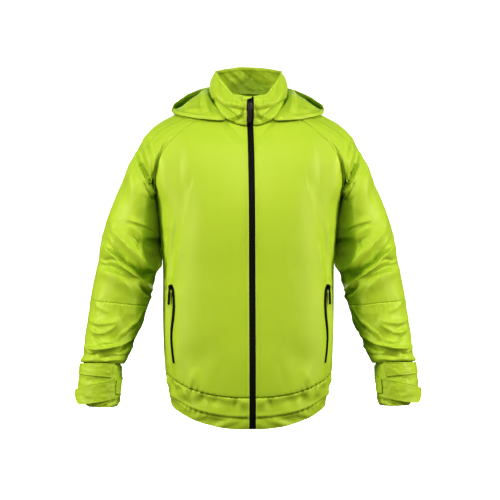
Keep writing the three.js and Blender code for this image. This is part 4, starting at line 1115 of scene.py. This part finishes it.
for hand, side in SIDES:
    rows = read_table(HOOD, np.linspace(0, len(HOOD) - 1, HOOD_STEPS + 1))
    seam = collar_point(1, np.minimum(rows[:, 0], 90), HOOD_SEAM_HEIGHT)
    seam = seam + unit(seam * (1, 1, 0)) * (CLOTH + LAY_GAP)
    sections = np.concatenate([seam[:, None], rows[:, 1:].reshape(-1, 5, 3)], 1)
    places = np.linspace(0, 5, HOOD_STEPS + 1)
    points = np.stack([read_table(section, places) for section in sections])
    points[..., 0] = hand * np.maximum(points[..., 0], SEAM_GAP / 2)
    points[-1, :, 0] = hand * SEAM_GAP / 8
    away, along_rim = run_lengths(points)
    from_rim = away[:, -1:] - away
    x, y, z = hand * points[..., 0], points[..., 1], points[..., 2]
    high = crinkle(points, (26, 26, 26), 1.4) * smooth(away, 0, 12)
    high += 1.6 * hump(from_rim, 0, 2.4) - 1.4 * hump(from_rim, 7, 2)
    high += pucker(along_rim, np.abs(from_rim - 7), 9, 6, 0.8, 0.5)
    high += fold_height(HOOD_CREASES, x, z, CREASE_SOFT) * smooth(-y, -30, 10) * smooth(away, 0, 10)
    points = move_out(points, -hand, high * smooth(x, 0.3, 12))
    column = nearest(from_rim[HOOD_STEPS * 5 // 8], RIM_STITCH)
    stitches(f"hood_stitches_{side}", points, -hand, [column])
    piece = sewn(f"hood_half_{side}", f"hood_{side}", points, -hand)

# Front zip: two woven black tapes with a covered coil between the fronts, from the hem
# to the collar's top. Behind the fronts' edges the tape runs on to where it is sewn.
TAPE_TOP = 0.97
NECK_SHARE = 0.9
TAPE_WALL = 1.4
TAPE_STEPS = (260, 8)
BLACK = cloth_material("Black zip tape", (0.003, 0.0032, 0.005), (0.002, 0.0022, 0.0035), 0.75, 0, 0.0008)


def zip_line(hand, width, t):
    """Points up the zip at some width from its middle: on the body, then on the collar."""
    level = mix(0.02, NECK_ROW, np.minimum(t / NECK_SHARE, 1))
    angle = beside_zip(hand, level, width)
    low = body_form(hand, angle, level)
    high = collar_point(hand, angle, TAPE_TOP * np.maximum(t - NECK_SHARE, 0) / (1 - NECK_SHARE))
    return np.where((t <= NECK_SHARE)[..., None], low, high)


def zip_grid(top, inner, outer, steps):
    return grid(np.linspace(0, top, steps[0] + 1), np.linspace(inner, outer, steps[1] + 1))


for hand, side in SIDES:
    t, width = zip_grid(1, SEAM_GAP / 2, ZIP_HALF - SEAM_GAP / 2, TAPE_STEPS)
    piece = shell(f"tape_{side}", zip_line(hand, width, t), hand, wall=TAPE_WALL, material=BLACK)
    dressed(piece, "zip_tape", f"zip_tape_{side}")

COIL_PITCH = 2.4
COIL_HALF = 2.2
COIL_DEEP = 0.9
COIL_STEPS = (1200, 4)
t, width = zip_grid(1, -COIL_HALF, COIL_HALF, COIL_STEPS)
points = zip_line(1, width, t)
high = 0.5 * np.sin(2 * np.pi * run_lengths(points)[1] / COIL_PITCH) - TAPE_WALL - COIL_DEEP
piece = shell("zip_coil", move_out(points, 1, high), 1, wall=1, material=BLACK)
dressed(piece, "zip_tape")

TUCK_HALF = 13
TUCK_DEEP = 3.6
TUCK_TOP = 0.88
TUCK_STEPS = (144, 6)
t, width = zip_grid(TUCK_TOP, -TUCK_HALF, TUCK_HALF, TUCK_STEPS)
points = move_out(zip_line(1, width, t), 1, np.full(t.shape, -TUCK_DEEP))
piece = shell("zip_tuck", points, 1, wall=0.8, material=BLACK)
dressed(piece, "zip_tape")

# Pocket zips: a narrow black zip in each front, its woven tape sewn along a gently
# curved line that bends in at the top, where the slider is.
POCKET_LINE = (  # x, z in the front view
    (176, -429), (170.5, -442), (168, -470), (169.5, -500), (174, -535), (173.5, -565), (167, -603),
)
POCKET_ZIP_HALF = 2.4
POCKET_STEPS = (120, 8)


def find_on_front(x, z):
    """The angle and level on the front where the front view shows (x, z)."""
    level = np.full(np.shape(x), 4.0)
    for _ in range(30):
        angle = -angle_at_width(level, x)
        here = body_form(1, angle, level)[..., 2]
        slope = body_form(1, angle, level + 0.05)[..., 2] - here
        level = np.clip(level + 0.05 * (z - here) / slope, 0, NECK_ROW)
    return angle, level


for hand, side in SIDES:
    place, offset = zip_grid(len(POCKET_LINE) - 1, -POCKET_ZIP_HALF, POCKET_ZIP_HALF, POCKET_STEPS)
    line = read_table(POCKET_LINE, place)
    angle, level = find_on_front(line[..., 0] + offset, line[..., 1])
    points = body_cloth(hand, angle, level) + body_facing(hand, angle, level) * (LAY_GAP + TAPE_WALL)
    piece = shell(f"pocket_tape_{side}", points, -hand, wall=TAPE_WALL, material=BLACK)
    dressed(piece, "zip_tape", f"pocket_zip_{side}")

# Sliders and pulls: cast metal sliders with a black enamel that is a little uneven and
# worn paler in places, and pull tabs moulded from matt black rubber over a metal link.
# They keep their CAD meshes.
def hard_material(name, colour, worn, rough, grain, size):
    """Enamel or rubber: a fine uneven surface, paler and duller where it is worn."""

    def spots(tree):
        place = node(tree, "ShaderNodeTexCoord").outputs["Object"]
        noise = node(tree, "ShaderNodeTexNoise", {"Vector": place, "Scale": size, "Detail": 4})
        return noise.outputs["Fac"], noise.outputs["Fac"]

    span = (rough - 0.1, rough + 0.12)
    return patterned(name, spots, colour, worn, span, (grain, 0.0004), {"Specular IOR Level": 0.4})


ENAMEL = hard_material("Black enamel", (0.004, 0.004, 0.005), (0.016, 0.017, 0.02), 0.4, 0.3, 900)
RUBBER = hard_material("Black rubber", (0.003, 0.003, 0.004), (0.008, 0.009, 0.011), 0.62, 0.5, 2400)
for place in ("front_{}", "pocket_{}_left", "pocket_{}_right"):
    bpy.data.objects[place.format("slider")].material_slots[0].material = ENAMEL
    bpy.data.objects[place.format("pull")].material_slots[0].material = RUBBER
